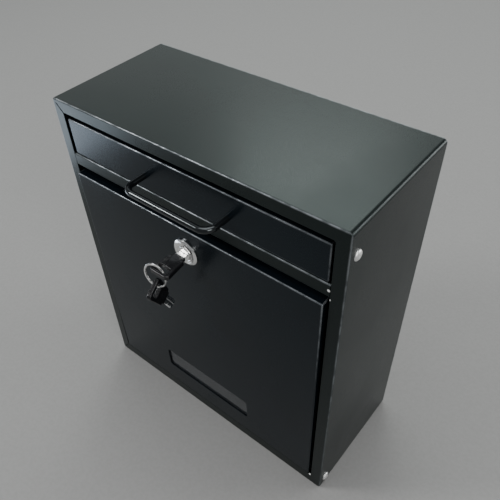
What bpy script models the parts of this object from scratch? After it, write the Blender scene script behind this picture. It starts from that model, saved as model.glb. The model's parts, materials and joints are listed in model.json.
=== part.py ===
"""A lockable sheet-steel letter box for a wall, with a drop flap, a tilting door, a cam lock and keys.

The frame is +Z up and +X to the right of someone facing the box. The origin is the centre of the back face,
which lies against the wall, so the box reaches forward to y = -DEPTH. Heights are measured up from the base
and depths back from the plane of the front frame.
"""

import math

import bmesh
import bpy
from mathutils import Matrix, Vector

MM = 0.001

# Casing
WIDTH, DEPTH, HEIGHT = 260 * MM, 114 * MM, 304 * MM
SHEET = 1.0 * MM
THIN_SHEET = 0.8 * MM
GAP = 0.3 * MM
CASING_CORNER = 3.0 * MM
FRONT_BEND = 1.3 * MM
FRAME_SIDE = 10.0 * MM
FRAME_TOP = 10.0 * MM
FRAME_BOTTOM = 12.5 * MM
MITRE_SLIT = 0.4 * MM
MITRE_START_X, MITRE_START_Z = 3.4 * MM, 2.6 * MM
BACK_FLANGE = 12.0 * MM
WALL_HOLE_RADIUS = 3.0 * MM
WALL_HOLE_INSET_X = 40.0 * MM
WALL_HOLE_INSET_Z = 32.0 * MM
CAPTIVE_BEND = 1.5 * MM

# Cross rail between the two openings, a hat section
RAIL_LOW, RAIL_HIGH = 247.5 * MM, 258.5 * MM
RAIL_DEPTH = 11.0 * MM
RAIL_BRIM = 7.5 * MM
RAIL_BRIM_INSET = 16.0 * MM
RAIL_BEND = 1.4 * MM

# Openings in the front, shared by the flap and the door
PANEL_HALF_WIDTH = 117.7 * MM
PANEL_DEPTH = 9.6 * MM
PANEL_CORNER = 2.0 * MM
PANEL_BEND = 1.0 * MM

# Drop flap
FLAP_LOW, FLAP_HIGH = 259.0 * MM, 289.4 * MM
FLAP_FACE = 0.8 * MM
FLAP_PIVOT = (8.5 * MM, 283.0 * MM)
FLAP_EAR = 4.5 * MM

# Wire handle
HANDLE_WIRE = 2.5 * MM
HANDLE_HALF_SPAN = 39.0 * MM
HANDLE_REACH = 18.5 * MM
HANDLE_BEND = 8.5 * MM
HANDLE_HEIGHT = 269.6 * MM
HANDLE_BORE, HANDLE_BORE_DEPTH = 1.8 * MM, 9.0 * MM
HANDLE_SCREW_HEAD, HANDLE_SCREW_HEAD_HEIGHT = 3.0 * MM, 2.2 * MM

# Door
DOOR_LOW, DOOR_HIGH = 14.3 * MM, 242.5 * MM
DOOR_FACE = -0.8 * MM
DOOR_PIVOT = (8.0 * MM, 11.2 * MM)
DOOR_REST_LEAN = math.radians(0.7)
DOOR_EAR_LOW = 7.0 * MM
DOOR_EAR_REACH = 12.0 * MM
DOOR_NOTCH_TOP = 18.6 * MM
DOOR_NOTCH_DEPTH = 4.0 * MM

# Viewing window in the door
WINDOW_WIDTH, WINDOW_HEIGHT = 98.0 * MM, 24.0 * MM
WINDOW_CENTRE = 50.0 * MM
WINDOW_CORNER = 2.5 * MM
PANE_MARGIN = 4.0 * MM
PANE_THICKNESS = 2.0 * MM
RETAINER_MARGIN = 8.0 * MM

# Pivot pins and their spacer bushes
PIN_SHANK = 2.0 * MM
PIN_HEAD = 4.5 * MM
PIN_HEAD_HEIGHT = 1.6 * MM
PIN_TAIL = 3.2 * MM
SPACER_RADIUS = 3.6 * MM

# Cam lock, on an axis that runs straight back through the door
LOCK_HEIGHT = 221.0 * MM
LOCK_FLANGE_RADIUS = 11.5 * MM
LOCK_FLANGE_FRONT = -3.3 * MM
LOCK_BARREL_RADIUS = 9.2 * MM
LOCK_BARREL_BACK = 12.8 * MM
LOCK_WASHER_RADIUS, LOCK_WASHER_THICKNESS = 12.5 * MM, 0.7 * MM
LOCK_NUT_ACROSS_FLATS, LOCK_NUT_THICKNESS = 24.0 * MM, 3.0 * MM
PLUG_RADIUS = 6.0 * MM
PLUG_FRONT, PLUG_BACK, PLUG_TAIL_BACK = -3.6 * MM, 13.3 * MM, 17.8 * MM
PLUG_TAIL_SIDE = 6.0 * MM
KEYWAY_BACK = 8.6 * MM
PLUG_BORE_FRONT = 9.8 * MM
CAM_FRONT, CAM_THICKNESS = 15.6 * MM, 2.0 * MM
CAM_WIDTH, CAM_CORNER = 13.0 * MM, 5.0 * MM
CAM_REACH, CAM_HEEL = 36.0 * MM, 7.5 * MM
CAM_WASHER_RADIUS, CAM_WASHER_THICKNESS = 6.2 * MM, 1.0 * MM
CAM_SCREW_RADIUS = 1.7 * MM
CAM_SCREW_HEAD, CAM_SCREW_HEAD_HEIGHT = 3.4 * MM, 2.4 * MM

# Keys: a plastic head with a ring slot near its wide end, and a flat steel blade
KEY_HEAD_LENGTH = 20.0 * MM
KEY_HEAD_WIDTH = 18.4 * MM
KEY_HEAD_BASE_WIDTH = 14.0 * MM
KEY_HEAD_THICKNESS = 3.8 * MM
KEY_NECK_WIDTH, KEY_NECK_LENGTH = 10.4 * MM, 3.5 * MM
KEY_SLOT_WIDTH, KEY_SLOT_LENGTH = 10.5 * MM, 6.4 * MM
KEY_END_BAR = 2.4 * MM
BLADE_WIDTH, BLADE_THICKNESS = 7.4 * MM, 2.0 * MM
BLADE_OUT, BLADE_IN_HEAD = 15.0 * MM, 8.0 * MM
KEY_END = -30.5 * MM

# Key ring, which hangs round one side of the key's slot, and the spare key that hangs from the ring
RING_RADIUS = 9.65 * MM
RING_WIRE = 0.8 * MM
RING_ACROSS, RING_OUT, RING_HEIGHT = -5.8 * MM, -30.8 * MM, 214.6 * MM
RING_NORMAL = Vector((-0.11, 0.988, -0.113))
SPARE_ACROSS, SPARE_OUT, SPARE_HEIGHT = -4.5 * MM, -36.6 * MM, 207.2 * MM
SPARE_HANG = Vector((-0.054, 0.44, -0.896))
SPARE_WIDTH_RUN = Vector((0.18, -0.88, -0.442))

ROUND_STEPS = 32
BEND_STEPS = 3
HANDLE_BEND_POINTS = 7
HANDLE_BEVEL_STEPS = 4
BLACK_PAINT = ((0.030, 0.033, 0.036, 1.0), 0.36, 0.35)
BLACK_WIRE = ((0.018, 0.019, 0.020, 1.0), 0.30, 0.30)
BLACK_PLASTIC = ((0.012, 0.012, 0.013, 1.0), 0.42, 0.0)
BRIGHT_NICKEL = ((0.72, 0.71, 0.68, 1.0), 0.18, 1.0)
PLATED_STEEL = ((0.56, 0.57, 0.58, 1.0), 0.32, 1.0)
SMOKED_PANE = ((0.070, 0.078, 0.084, 1.0), 0.12, 0.0)


def at(x: float, depth: float, height: float) -> Vector:
    """The point at x, that depth behind the front frame and that height above the base."""
    return Vector((x, depth - DEPTH, height - HEIGHT / 2))


def clear_scene() -> None:
    for obj in list(bpy.data.objects):
        bpy.data.objects.remove(obj, do_unlink=True)


def new_collection(name: str) -> bpy.types.Collection:
    collection = bpy.data.collections.new(name)
    bpy.context.scene.collection.children.link(collection)
    return collection


def dress(obj: bpy.types.Object, finish: tuple) -> None:
    """Gives the object a Principled material of its own."""
    colour, roughness, metallic = finish
    material = bpy.data.materials.new(obj.name)
    material.use_nodes = True
    shader = material.node_tree.nodes["Principled BSDF"]
    shader.inputs["Base Color"].default_value = colour
    shader.inputs["Roughness"].default_value = roughness
    shader.inputs["Metallic"].default_value = metallic
    material.diffuse_color = colour
    obj.data.materials.append(material)


class Workshop:
    """Makes objects in the parts or the cutters collection and keeps the joints' empties."""

    def __init__(self) -> None:
        self.parts = new_collection("wall_mailbox")
        self.cutters = new_collection("cutters")
        self.pivots: dict = {}

    def pivot(self, name: str, place: Vector, parent: str = "") -> None:
        """An empty on a joint's axis. What is hung on it keeps its place until the empty turns."""
        empty = bpy.data.objects.new(name, None)
        self.parts.objects.link(empty)
        empty.empty_display_size = 10 * MM
        empty.location = place
        if parent:
            empty.parent = self.pivots[parent]
            empty.matrix_parent_inverse = self.pivots[parent].matrix_world.inverted()
        self.pivots[name] = empty
        bpy.context.view_layer.update()

    def hang(self, obj: bpy.types.Object, pivot: str) -> None:
        if pivot:
            obj.parent = self.pivots[pivot]
            obj.matrix_parent_inverse = self.pivots[pivot].matrix_world.inverted()

    def part(self, name: str, data, finish: tuple, pivot: str = "", place: Matrix | None = None):
        """One sub-part: an object in the parts collection with its own material."""
        obj = bpy.data.objects.new(name, data)
        self.parts.objects.link(obj)
        obj.matrix_world = place or Matrix()
        dress(obj, finish)
        self.hang(obj, pivot)
        return obj

    def cut(self, target, mesh, place: Matrix | None = None, operation: str = "DIFFERENCE") -> None:
        """Cuts the mesh's shape from the target, or joins it on. The cutter hangs where the target does."""
        cutter = bpy.data.objects.new(f"{target.name}_cutter", mesh)
        self.cutters.objects.link(cutter)
        cutter.matrix_world = place or Matrix()
        cutter.hide_render = True
        cutter.display_type = "WIRE"
        if target.parent:
            cutter.parent = target.parent
            cutter.matrix_parent_inverse = target.matrix_parent_inverse
        modifier = target.modifiers.new(operation.title(), "BOOLEAN")
        modifier.operation = operation
        modifier.object = cutter


def finish_mesh(bm: bmesh.types.BMesh, name: str) -> bpy.types.Mesh:
    bmesh.ops.recalc_face_normals(bm, faces=bm.faces)
    mesh = bpy.data.meshes.new(name)
    bm.to_mesh(mesh)
    bm.free()
    return mesh


def smooth(mesh: bpy.types.Mesh) -> bpy.types.Mesh:
    mesh.shade_smooth()
    mesh.set_sharp_from_angle(angle=math.radians(35))
    return mesh


def cube_between(low: Vector, high: Vector) -> bmesh.types.BMesh:
    bm = bmesh.new()
    middle, size = (low + high) / 2, high - low
    bmesh.ops.create_cube(bm, size=1, matrix=Matrix.Translation(middle) @ Matrix.Diagonal((*size, 1)))
    return bm


def edges_along(bm: bmesh.types.BMesh, axis: int) -> list:
    """The straight edges that run along one axis."""
    found = []
    for edge in bm.edges:
        run = edge.verts[1].co - edge.verts[0].co
        if abs(run[axis]) > 0.999 * run.length:
            found.append(edge)
    return found


def round_edges(bm: bmesh.types.BMesh, edges: list, radius: float, segments: int) -> None:
    bmesh.ops.bevel(bm, geom=edges, offset=radius, segments=segments, profile=0.5, affect="EDGES")


def block(low: Vector, high: Vector, name: str = "block", corner: float = 0.0) -> bpy.types.Mesh:
    """A box, with the four edges that run front to back rounded if corner is given."""
    bm = cube_between(low, high)
    if corner:
        round_edges(bm, edges_along(bm, 1), corner, BEND_STEPS + 1)
    return finish_mesh(bm, name)


def rod(
    radius: float, start: Vector, end: Vector, name: str = "rod", sides: int = ROUND_STEPS
) -> bpy.types.Mesh:
    """A cylinder, or a prism with few sides, from start to end."""
    bm = bmesh.new()
    run = end - start
    turn = run.to_track_quat("Z", "Y").to_matrix().to_4x4()
    bmesh.ops.create_cone(
        bm,
        cap_ends=True,
        segments=sides,
        radius1=radius,
        radius2=radius,
        depth=run.length,
        matrix=Matrix.Translation((start + end) / 2) @ turn,
    )
    return smooth(finish_mesh(bm, name))


def turned(work: Workshop, name: str, profile: list, finish: tuple, pivot: str, place: Matrix):
    """A lathe shape: (radius, height) points run down the outside, and back up the inside if it is hollow."""
    bm = bmesh.new()
    verts = [bm.verts.new((radius, 0, height)) for radius, height in profile]
    for first, second in zip(verts, verts[1:]):
        bm.edges.new((first, second))
    if profile[0][0] > 0:
        bm.edges.new((verts[-1], verts[0]))
    mesh = bpy.data.meshes.new(name)
    bm.to_mesh(mesh)
    bm.free()
    obj = work.part(name, mesh, finish, pivot, place)
    screw = obj.modifiers.new("Lathe", "SCREW")
    screw.steps = screw.render_steps = ROUND_STEPS
    screw.use_merge_vertices = True
    screw.merge_threshold = 0.01 * MM
    screw.use_smooth_shade = False
    return obj


def facing(centre: Vector, direction: Vector) -> Matrix:
    """A placing whose local +Z points along the direction."""
    return Matrix.Translation(centre) @ direction.to_track_quat("Z", "Y").to_matrix().to_4x4()


def rounded_outline(corners: list, radii: list, steps: int = 5) -> list:
    """The corners of a polygon, each replaced by an arc of its own radius that touches both sides."""
    points = []
    count = len(corners)
    for index, radius in enumerate(radii):
        here = Vector(corners[index])
        before = (Vector(corners[index - 1]) - here).normalized()
        after = (Vector(corners[(index + 1) % count]) - here).normalized()
        half = before.angle(after) / 2
        if radius <= 0:
            points.append(here)
            continue
        centre = here + (before + after).normalized() * (radius / math.sin(half))
        start = here + before * (radius / math.tan(half)) - centre
        end = here + after * (radius / math.tan(half)) - centre
        for step in range(steps + 1):
            share = step / steps
            points.append(centre + start.slerp(end, share).normalized() * radius)
    return points


def rectangle(width: float, height: float, centre=(0.0, 0.0)) -> list:
    x, y = centre
    w, h = width / 2, height / 2
    return [(x - w, y - h), (x + w, y - h), (x + w, y + h), (x - w, y + h)]


def flat_curve(name: str, outlines: list, thickness: float) -> bpy.types.Curve:
    """A flat plate in its own XY plane, centred on it: the first outline is its edge, the others are holes."""
    curve = bpy.data.curves.new(name, "CURVE")
    curve.dimensions = "2D"
    curve.fill_mode = "BOTH"
    curve.extrude = thickness / 2
    for outline in outlines:
        spline = curve.splines.new("POLY")
        spline.points.add(len(outline) - 1)
        for point, (x, y) in zip(spline.points, outline):
            point.co = (x, y, 0, 1)
        spline.use_cyclic_u = True
    return curve


def meshed(work: Workshop, curve_object):
    """The same sub-part as a closed mesh, which a Boolean can cut."""
    bpy.context.view_layer.update()
    graph = bpy.context.evaluated_depsgraph_get()
    mesh = bpy.data.meshes.new_from_object(curve_object.evaluated_get(graph))
    bm = bmesh.new()
    bm.from_mesh(mesh)
    bmesh.ops.remove_doubles(bm, verts=bm.verts, dist=0.01 * MM)
    bmesh.ops.recalc_face_normals(bm, faces=bm.faces)
    bm.to_mesh(mesh)
    bm.free()
    name, place = curve_object.name, curve_object.matrix_world.copy()
    parent, inverse = curve_object.parent, curve_object.matrix_parent_inverse.copy()
    materials = list(curve_object.data.materials)
    bpy.data.objects.remove(curve_object)
    obj = bpy.data.objects.new(name, smooth(mesh))
    work.parts.objects.link(obj)
    if not mesh.materials:
        mesh.materials.append(materials[0])
    if parent:
        obj.parent = parent
        obj.matrix_parent_inverse = inverse
    obj.matrix_world = place
    return obj


def delete_face(bm: bmesh.types.BMesh, direction: Vector) -> None:
    """Opens the mesh on the side whose face looks along the direction."""
    bm.faces.ensure_lookup_table()
    bm.normal_update()
    face = max(bm.faces, key=lambda f: f.normal.dot(direction) * f.calc_area() ** 0.01)
    bmesh.ops.delete(bm, geom=[face], context="FACES_ONLY")


def solidify(obj, thickness: float) -> None:
    """Gives an open sheet its thickness, on the inside of the outer surface."""
    modifier = obj.modifiers.new("Sheet", "SOLIDIFY")
    modifier.thickness = thickness
    modifier.offset = -1
    modifier.use_even_offset = True


def sheet_pan(low: Vector, high: Vector, open_sides: list, corner: float, bend: float, name: str):
    """A shallow pressed pan: a box open on the given sides, its corners and its face's edges rounded.

    The first open side is the one across from the pan's face.
    """
    bm = cube_between(low, high)
    for side in open_sides:
        delete_face(bm, side)
    round_edges(bm, [e for e in edges_along(bm, 1) if len(e.link_faces) == 2], corner, BEND_STEPS)
    face = low.y if open_sides[0].y > 0 else high.y
    rim = [
        edge
        for edge in bm.edges
        if len(edge.link_faces) == 2 and all(abs(vert.co.y - face) < 1e-6 for vert in edge.verts)
    ]
    round_edges(bm, rim, bend, BEND_STEPS)
    return smooth(finish_mesh(bm, name))


BACKWARD, DOWN = Vector((0, 1, 0)), Vector((0, 0, -1))
SIDES = (("left", -1), ("right", 1))


def build_casing(work: Workshop) -> None:
    """The wrap-round shell: four walls and the narrow front frame, folded from one sheet and open at the back."""
    low, high = at(-WIDTH / 2, 0, 0), at(WIDTH / 2, DEPTH, HEIGHT)
    mesh = sheet_pan(low, high, [BACKWARD], CASING_CORNER, FRONT_BEND, "casing_shell")
    shell = work.part("casing_shell", mesh, BLACK_PAINT)
    solidify(shell, SHEET)
    side = WIDTH / 2 - FRAME_SIDE
    work.cut(shell, block(at(-side, -2 * MM, FRAME_BOTTOM), at(side, 5 * MM, HEIGHT - FRAME_TOP)))
    for across in (-1, 1):
        for corner_z, inner_z, up in ((HEIGHT, HEIGHT - FRAME_TOP, 1), (0, FRAME_BOTTOM, -1)):
            outer = at(across * (WIDTH / 2 - MITRE_START_X), 0, corner_z - up * MITRE_START_Z)
            inner = at(across * side, 0, inner_z)
            run = (inner - outer).normalized()
            low = Vector((-MITRE_SLIT / 2, -2 * MM, 0))
            high = Vector((MITRE_SLIT / 2, 3 * MM, (inner - outer).length + MM))
            turn = Matrix((run.cross(BACKWARD) * -1, BACKWARD, run)).transposed().to_4x4()
            work.cut(shell, block(low, high, "slit"), Matrix.Translation(outer) @ turn)
    for depth, height in (FLAP_PIVOT, DOOR_PIVOT):
        hole = rod(PIN_SHANK + GAP, at(-WIDTH, depth, height), at(WIDTH, depth, height))
        work.cut(shell, hole)


def build_back_panel(work: Workshop) -> None:
    """The pan that closes the back, with a hole near each corner for a wall screw."""
    inset = SHEET + GAP
    low = at(-WIDTH / 2 + inset, DEPTH - BACK_FLANGE, inset)
    high = at(WIDTH / 2 - inset, DEPTH, HEIGHT - inset)
    mesh = sheet_pan(low, high, [-BACKWARD], CASING_CORNER - SHEET, CAPTIVE_BEND, "back_panel")
    panel = work.part("back_panel", mesh, BLACK_PAINT)
    solidify(panel, SHEET)
    for across in (-1, 1):
        for height in (WALL_HOLE_INSET_Z, HEIGHT - WALL_HOLE_INSET_Z):
            x = across * (WIDTH / 2 - WALL_HOLE_INSET_X)
            work.cut(panel, rod(WALL_HOLE_RADIUS, at(x, DEPTH - 5 * MM, height), at(x, DEPTH + 5 * MM, height)))


def build_cross_rail(work: Workshop) -> None:
    """A hat section whose web is flush with the frame. Its brims stop the flap and the door."""
    profile = [
        (RAIL_DEPTH, RAIL_LOW - RAIL_BRIM),
        (RAIL_DEPTH, RAIL_LOW),
        (0, RAIL_LOW),
        (0, RAIL_HIGH),
        (RAIL_DEPTH, RAIL_HIGH),
        (RAIL_DEPTH, RAIL_HIGH + RAIL_BRIM),
    ]
    end = WIDTH / 2 - SHEET - GAP
    bm = bmesh.new()
    verts = [bm.verts.new(at(-end, depth, height)) for depth, height in profile]
    edges = [bm.edges.new(pair) for pair in zip(verts, verts[1:])]
    swept = bmesh.ops.extrude_edge_only(bm, edges=edges)["geom"]
    moved = [item for item in swept if isinstance(item, bmesh.types.BMVert)]
    bmesh.ops.translate(bm, vec=(2 * end, 0, 0), verts=moved)
    round_edges(bm, [e for e in edges_along(bm, 0) if len(e.link_faces) == 2], RAIL_BEND, BEND_STEPS)
    bmesh.ops.recalc_face_normals(bm, faces=bm.faces)
    web = max(bm.faces, key=lambda f: -f.calc_center_median().y)
    if web.normal.y > 0:
        bmesh.ops.reverse_faces(bm, faces=bm.faces)
    mesh = bpy.data.meshes.new("cross_rail")
    bm.to_mesh(mesh)
    bm.free()
    rail = work.part("cross_rail", smooth(mesh), BLACK_PAINT)
    solidify(rail, SHEET)
    for across in (-1, 1):
        frame_edge = across * (WIDTH / 2 - FRAME_SIDE - GAP)
        brim_edge = across * (WIDTH / 2 - RAIL_BRIM_INSET)
        wall = across * WIDTH / 2
        for inner, shallow, deep, low, high in (
            (frame_edge, -MM, SHEET + GAP, RAIL_LOW - MM, RAIL_HIGH + MM),
            (brim_edge, 8 * MM, 14 * MM, RAIL_LOW - 20 * MM, RAIL_LOW - 0.5 * MM),
            (brim_edge, 8 * MM, 14 * MM, RAIL_HIGH + 0.5 * MM, RAIL_HIGH + 20 * MM),
        ):
            left, right = sorted((inner, wall))
            work.cut(rail, block(at(left, shallow, low), at(right, deep, high)))


def build_pins(work: Workshop, name: str, pivot: tuple) -> None:
    """A headed pin through each side wall, and the bush that keeps the panel away from the wall."""
    depth, height = pivot
    ear_inner = PANEL_HALF_WIDTH - THIN_SHEET
    wall = WIDTH / 2
    for side, across in SIDES:
        outward = Vector((across, 0, 0))
        head = wall + GAP
        crown = head + PIN_HEAD_HEIGHT
        tail = ear_inner - GAP
        profile = [(0, crown), (PIN_HEAD * 0.45, crown - 0.10 * MM), (PIN_HEAD * 0.8, crown - 0.45 * MM)]
        profile += [(PIN_HEAD, crown - 1.1 * MM), (PIN_HEAD, head), (PIN_SHANK, head), (PIN_SHANK, tail)]
        profile += [(PIN_TAIL, tail), (PIN_TAIL * 0.8, tail - MM), (0, tail - MM)]
        turned(work, f"{name}_pin_{side}", profile, BRIGHT_NICKEL, "", facing(at(0, depth, height), outward))
        bush_out, bush_in = wall - SHEET - GAP, PANEL_HALF_WIDTH + GAP
        bore = PIN_SHANK + GAP
        bush = [(SPACER_RADIUS, bush_out), (SPACER_RADIUS, bush_in), (bore, bush_in), (bore, bush_out)]
        turned(work, f"{name}_spacer_{side}", bush, BLACK_PLASTIC, "", facing(at(0, depth, height), outward))


def build_flap(work: Workshop) -> None:
    """The drop flap: a shallow pan whose side walls reach back to the pivot pins."""
    depth, height = FLAP_PIVOT
    work.pivot("flap_hinge", at(0, depth, height))
    ear_back = depth + FLAP_EAR
    low = at(-PANEL_HALF_WIDTH, FLAP_FACE, FLAP_LOW)
    high = at(PANEL_HALF_WIDTH, ear_back, FLAP_HIGH)
    mesh = sheet_pan(low, high, [BACKWARD], PANEL_CORNER, PANEL_BEND, "drop_flap")
    flap = work.part("drop_flap", mesh, BLACK_PAINT, "flap_hinge")
    solidify(flap, THIN_SHEET)
    outside = PANEL_HALF_WIDTH + MM
    ear_low, ear_high = height - FLAP_EAR, height + FLAP_EAR
    work.cut(flap, block(at(-outside, PANEL_DEPTH, FLAP_LOW - MM), at(outside, ear_back + MM, ear_low)))
    work.cut(flap, block(at(-outside, PANEL_DEPTH, ear_high), at(outside, ear_back + MM, FLAP_HIGH + MM)))
    work.cut(flap, rod(PIN_SHANK + GAP, at(-outside, depth, height), at(outside, depth, height)))
    for across in (-1, 1):
        x = across * HANDLE_HALF_SPAN
        screw_hole = rod(HANDLE_BORE, at(x, -5 * MM, HANDLE_HEIGHT), at(x, 5 * MM, HANDLE_HEIGHT))
        work.cut(flap, screw_hole)


def build_handle(work: Workshop) -> None:
    """A bent wire handle on the flap, with a screw from behind into the end of each leg."""
    root = FLAP_FACE - GAP
    path = [at(-HANDLE_HALF_SPAN, root, HANDLE_HEIGHT)]
    for across, start in ((-1, 0.0), (1, math.pi / 2)):
        centre_x = across * (HANDLE_HALF_SPAN - HANDLE_BEND)
        for step in range(HANDLE_BEND_POINTS):
            angle = start + step / (HANDLE_BEND_POINTS - 1) * math.pi / 2
            x = centre_x - HANDLE_BEND * math.cos(angle)
            reach = -HANDLE_REACH + HANDLE_BEND - HANDLE_BEND * math.sin(angle)
            path.append(at(x, reach, HANDLE_HEIGHT))
    path.append(at(HANDLE_HALF_SPAN, root, HANDLE_HEIGHT))
    curve = bpy.data.curves.new("pull_handle", "CURVE")
    curve.dimensions = "3D"
    curve.bevel_depth = HANDLE_WIRE
    curve.bevel_resolution = HANDLE_BEVEL_STEPS
    curve.use_fill_caps = True
    spline = curve.splines.new("POLY")
    spline.points.add(len(path) - 1)
    for point, place in zip(spline.points, path):
        point.co = (*place, 1)
    handle = meshed(work, work.part("pull_handle", curve, BLACK_WIRE, "flap_hinge"))
    head_front = FLAP_FACE + THIN_SHEET + GAP
    for side, across in SIDES:
        x = across * HANDLE_HALF_SPAN
        bore_end = root - HANDLE_BORE_DEPTH
        work.cut(handle, rod(HANDLE_BORE, at(x, bore_end, HANDLE_HEIGHT), at(x, root + MM, HANDLE_HEIGHT)))
        back = head_front + HANDLE_SCREW_HEAD_HEIGHT
        profile = screw_profile(
            HANDLE_SCREW_HEAD, HANDLE_BORE - GAP, head_front, back, bore_end + 2 * MM
        )
        place = facing(at(x, 0, HANDLE_HEIGHT), BACKWARD)
        screw = turned(work, f"handle_screw_{side}", profile, PLATED_STEEL, "flap_hinge", place)
        cut_cross_recess(work, screw, at(x, back, HANDLE_HEIGHT), HANDLE_SCREW_HEAD)


def screw_profile(head: float, shank: float, seat: float, crown: float, tip: float) -> list:
    """Half the outline of a pan-head screw, from the crown of its head to the tip of its shank."""
    profile = [(0, crown), (head * 0.8, crown - 0.3 * MM), (head, crown - 0.95 * MM), (head, seat)]
    return [*profile, (shank, seat), (shank, tip), (0, tip)]


def cut_cross_recess(work: Workshop, screw, crown: Vector, head: float) -> None:
    """The cross in a screw head that looks back towards the wall."""
    span, slot, deep = head * 1.06, head * 0.266, head * 0.34
    for width, height in ((span, slot), (slot, span)):
        half = Vector((width / 2, deep, height / 2))
        work.cut(screw, block(crown - half, crown + half))


def build_door(work: Workshop) -> None:
    """The tilting door: a pan with no bottom wall, so that it can swing down in front of the frame."""
    depth, height = DOOR_PIVOT
    work.pivot("door_hinge", at(0, depth, height))
    low = at(-PANEL_HALF_WIDTH, DOOR_FACE, DOOR_EAR_LOW)
    high = at(PANEL_HALF_WIDTH, DOOR_EAR_REACH, DOOR_HIGH)
    mesh = sheet_pan(low, high, [BACKWARD, DOWN], PANEL_CORNER, PANEL_BEND, "door_panel")
    door = work.part("door_panel", mesh, BLACK_PAINT, "door_hinge")
    solidify(door, THIN_SHEET)
    outside = PANEL_HALF_WIDTH + MM
    inner_face = DOOR_FACE + THIN_SHEET
    work.cut(door, block(at(-outside, -5 * MM, 0), at(outside, DOOR_NOTCH_DEPTH, DOOR_LOW)))
    work.cut(door, block(at(-outside, PANEL_DEPTH, DOOR_NOTCH_TOP), at(outside, 20 * MM, DOOR_HIGH + MM)))
    for across in (-1, 1):
        left, right = sorted((across * outside, across * (PANEL_HALF_WIDTH - 3 * MM)))
        low = at(left, inner_face + 0.15 * MM, DOOR_LOW - 0.2 * MM)
        work.cut(door, block(low, at(right, DOOR_NOTCH_DEPTH, DOOR_NOTCH_TOP)))
    work.cut(door, rod(PIN_SHANK + GAP, at(-outside, depth, height), at(outside, depth, height)))
    work.cut(door, rod(LOCK_BARREL_RADIUS + GAP, at(0, -5 * MM, LOCK_HEIGHT), at(0, 5 * MM, LOCK_HEIGHT)))
    half = Vector((WINDOW_WIDTH / 2, 4 * MM, WINDOW_HEIGHT / 2))
    middle = at(0, 0, WINDOW_CENTRE)
    work.cut(door, block(middle - half, middle + half, corner=WINDOW_CORNER))


def build_window(work: Workshop) -> None:
    """The clear pane behind the door's cut-out, and the pressed frame that holds it there."""
    pane_front = DOOR_FACE + THIN_SHEET + GAP
    pane_back = pane_front + PANE_THICKNESS
    half_x, half_z = WINDOW_WIDTH / 2 + PANE_MARGIN, WINDOW_HEIGHT / 2 + PANE_MARGIN
    low = at(-half_x, pane_front, WINDOW_CENTRE - half_z)
    high = at(half_x, pane_back, WINDOW_CENTRE + half_z)
    work.part("window_pane", block(low, high, "window_pane", WINDOW_CORNER), SMOKED_PANE, "door_hinge")
    rim_x, rim_z = WINDOW_WIDTH / 2 + RETAINER_MARGIN, WINDOW_HEIGHT / 2 + RETAINER_MARGIN
    low = at(-rim_x, pane_front, WINDOW_CENTRE - rim_z)
    high = at(rim_x, pane_back + GAP + THIN_SHEET, WINDOW_CENTRE + rim_z)
    mesh = sheet_pan(low, high, [-BACKWARD], PANEL_CORNER, PANEL_BEND, "pane_retainer")
    retainer = work.part("pane_retainer", mesh, BLACK_PAINT, "door_hinge")
    solidify(retainer, THIN_SHEET)
    half = Vector((WINDOW_WIDTH / 2, 10 * MM, WINDOW_HEIGHT / 2))
    middle = at(0, pane_back, WINDOW_CENTRE)
    work.cut(retainer, block(middle - half, middle + half, corner=WINDOW_CORNER))


def washer_profile(outer: float, hole: float, front: float, rear: float) -> list:
    """Half the outline of a flat washer."""
    return [(outer, rear), (outer, front), (hole, front), (hole, rear)]


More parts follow.
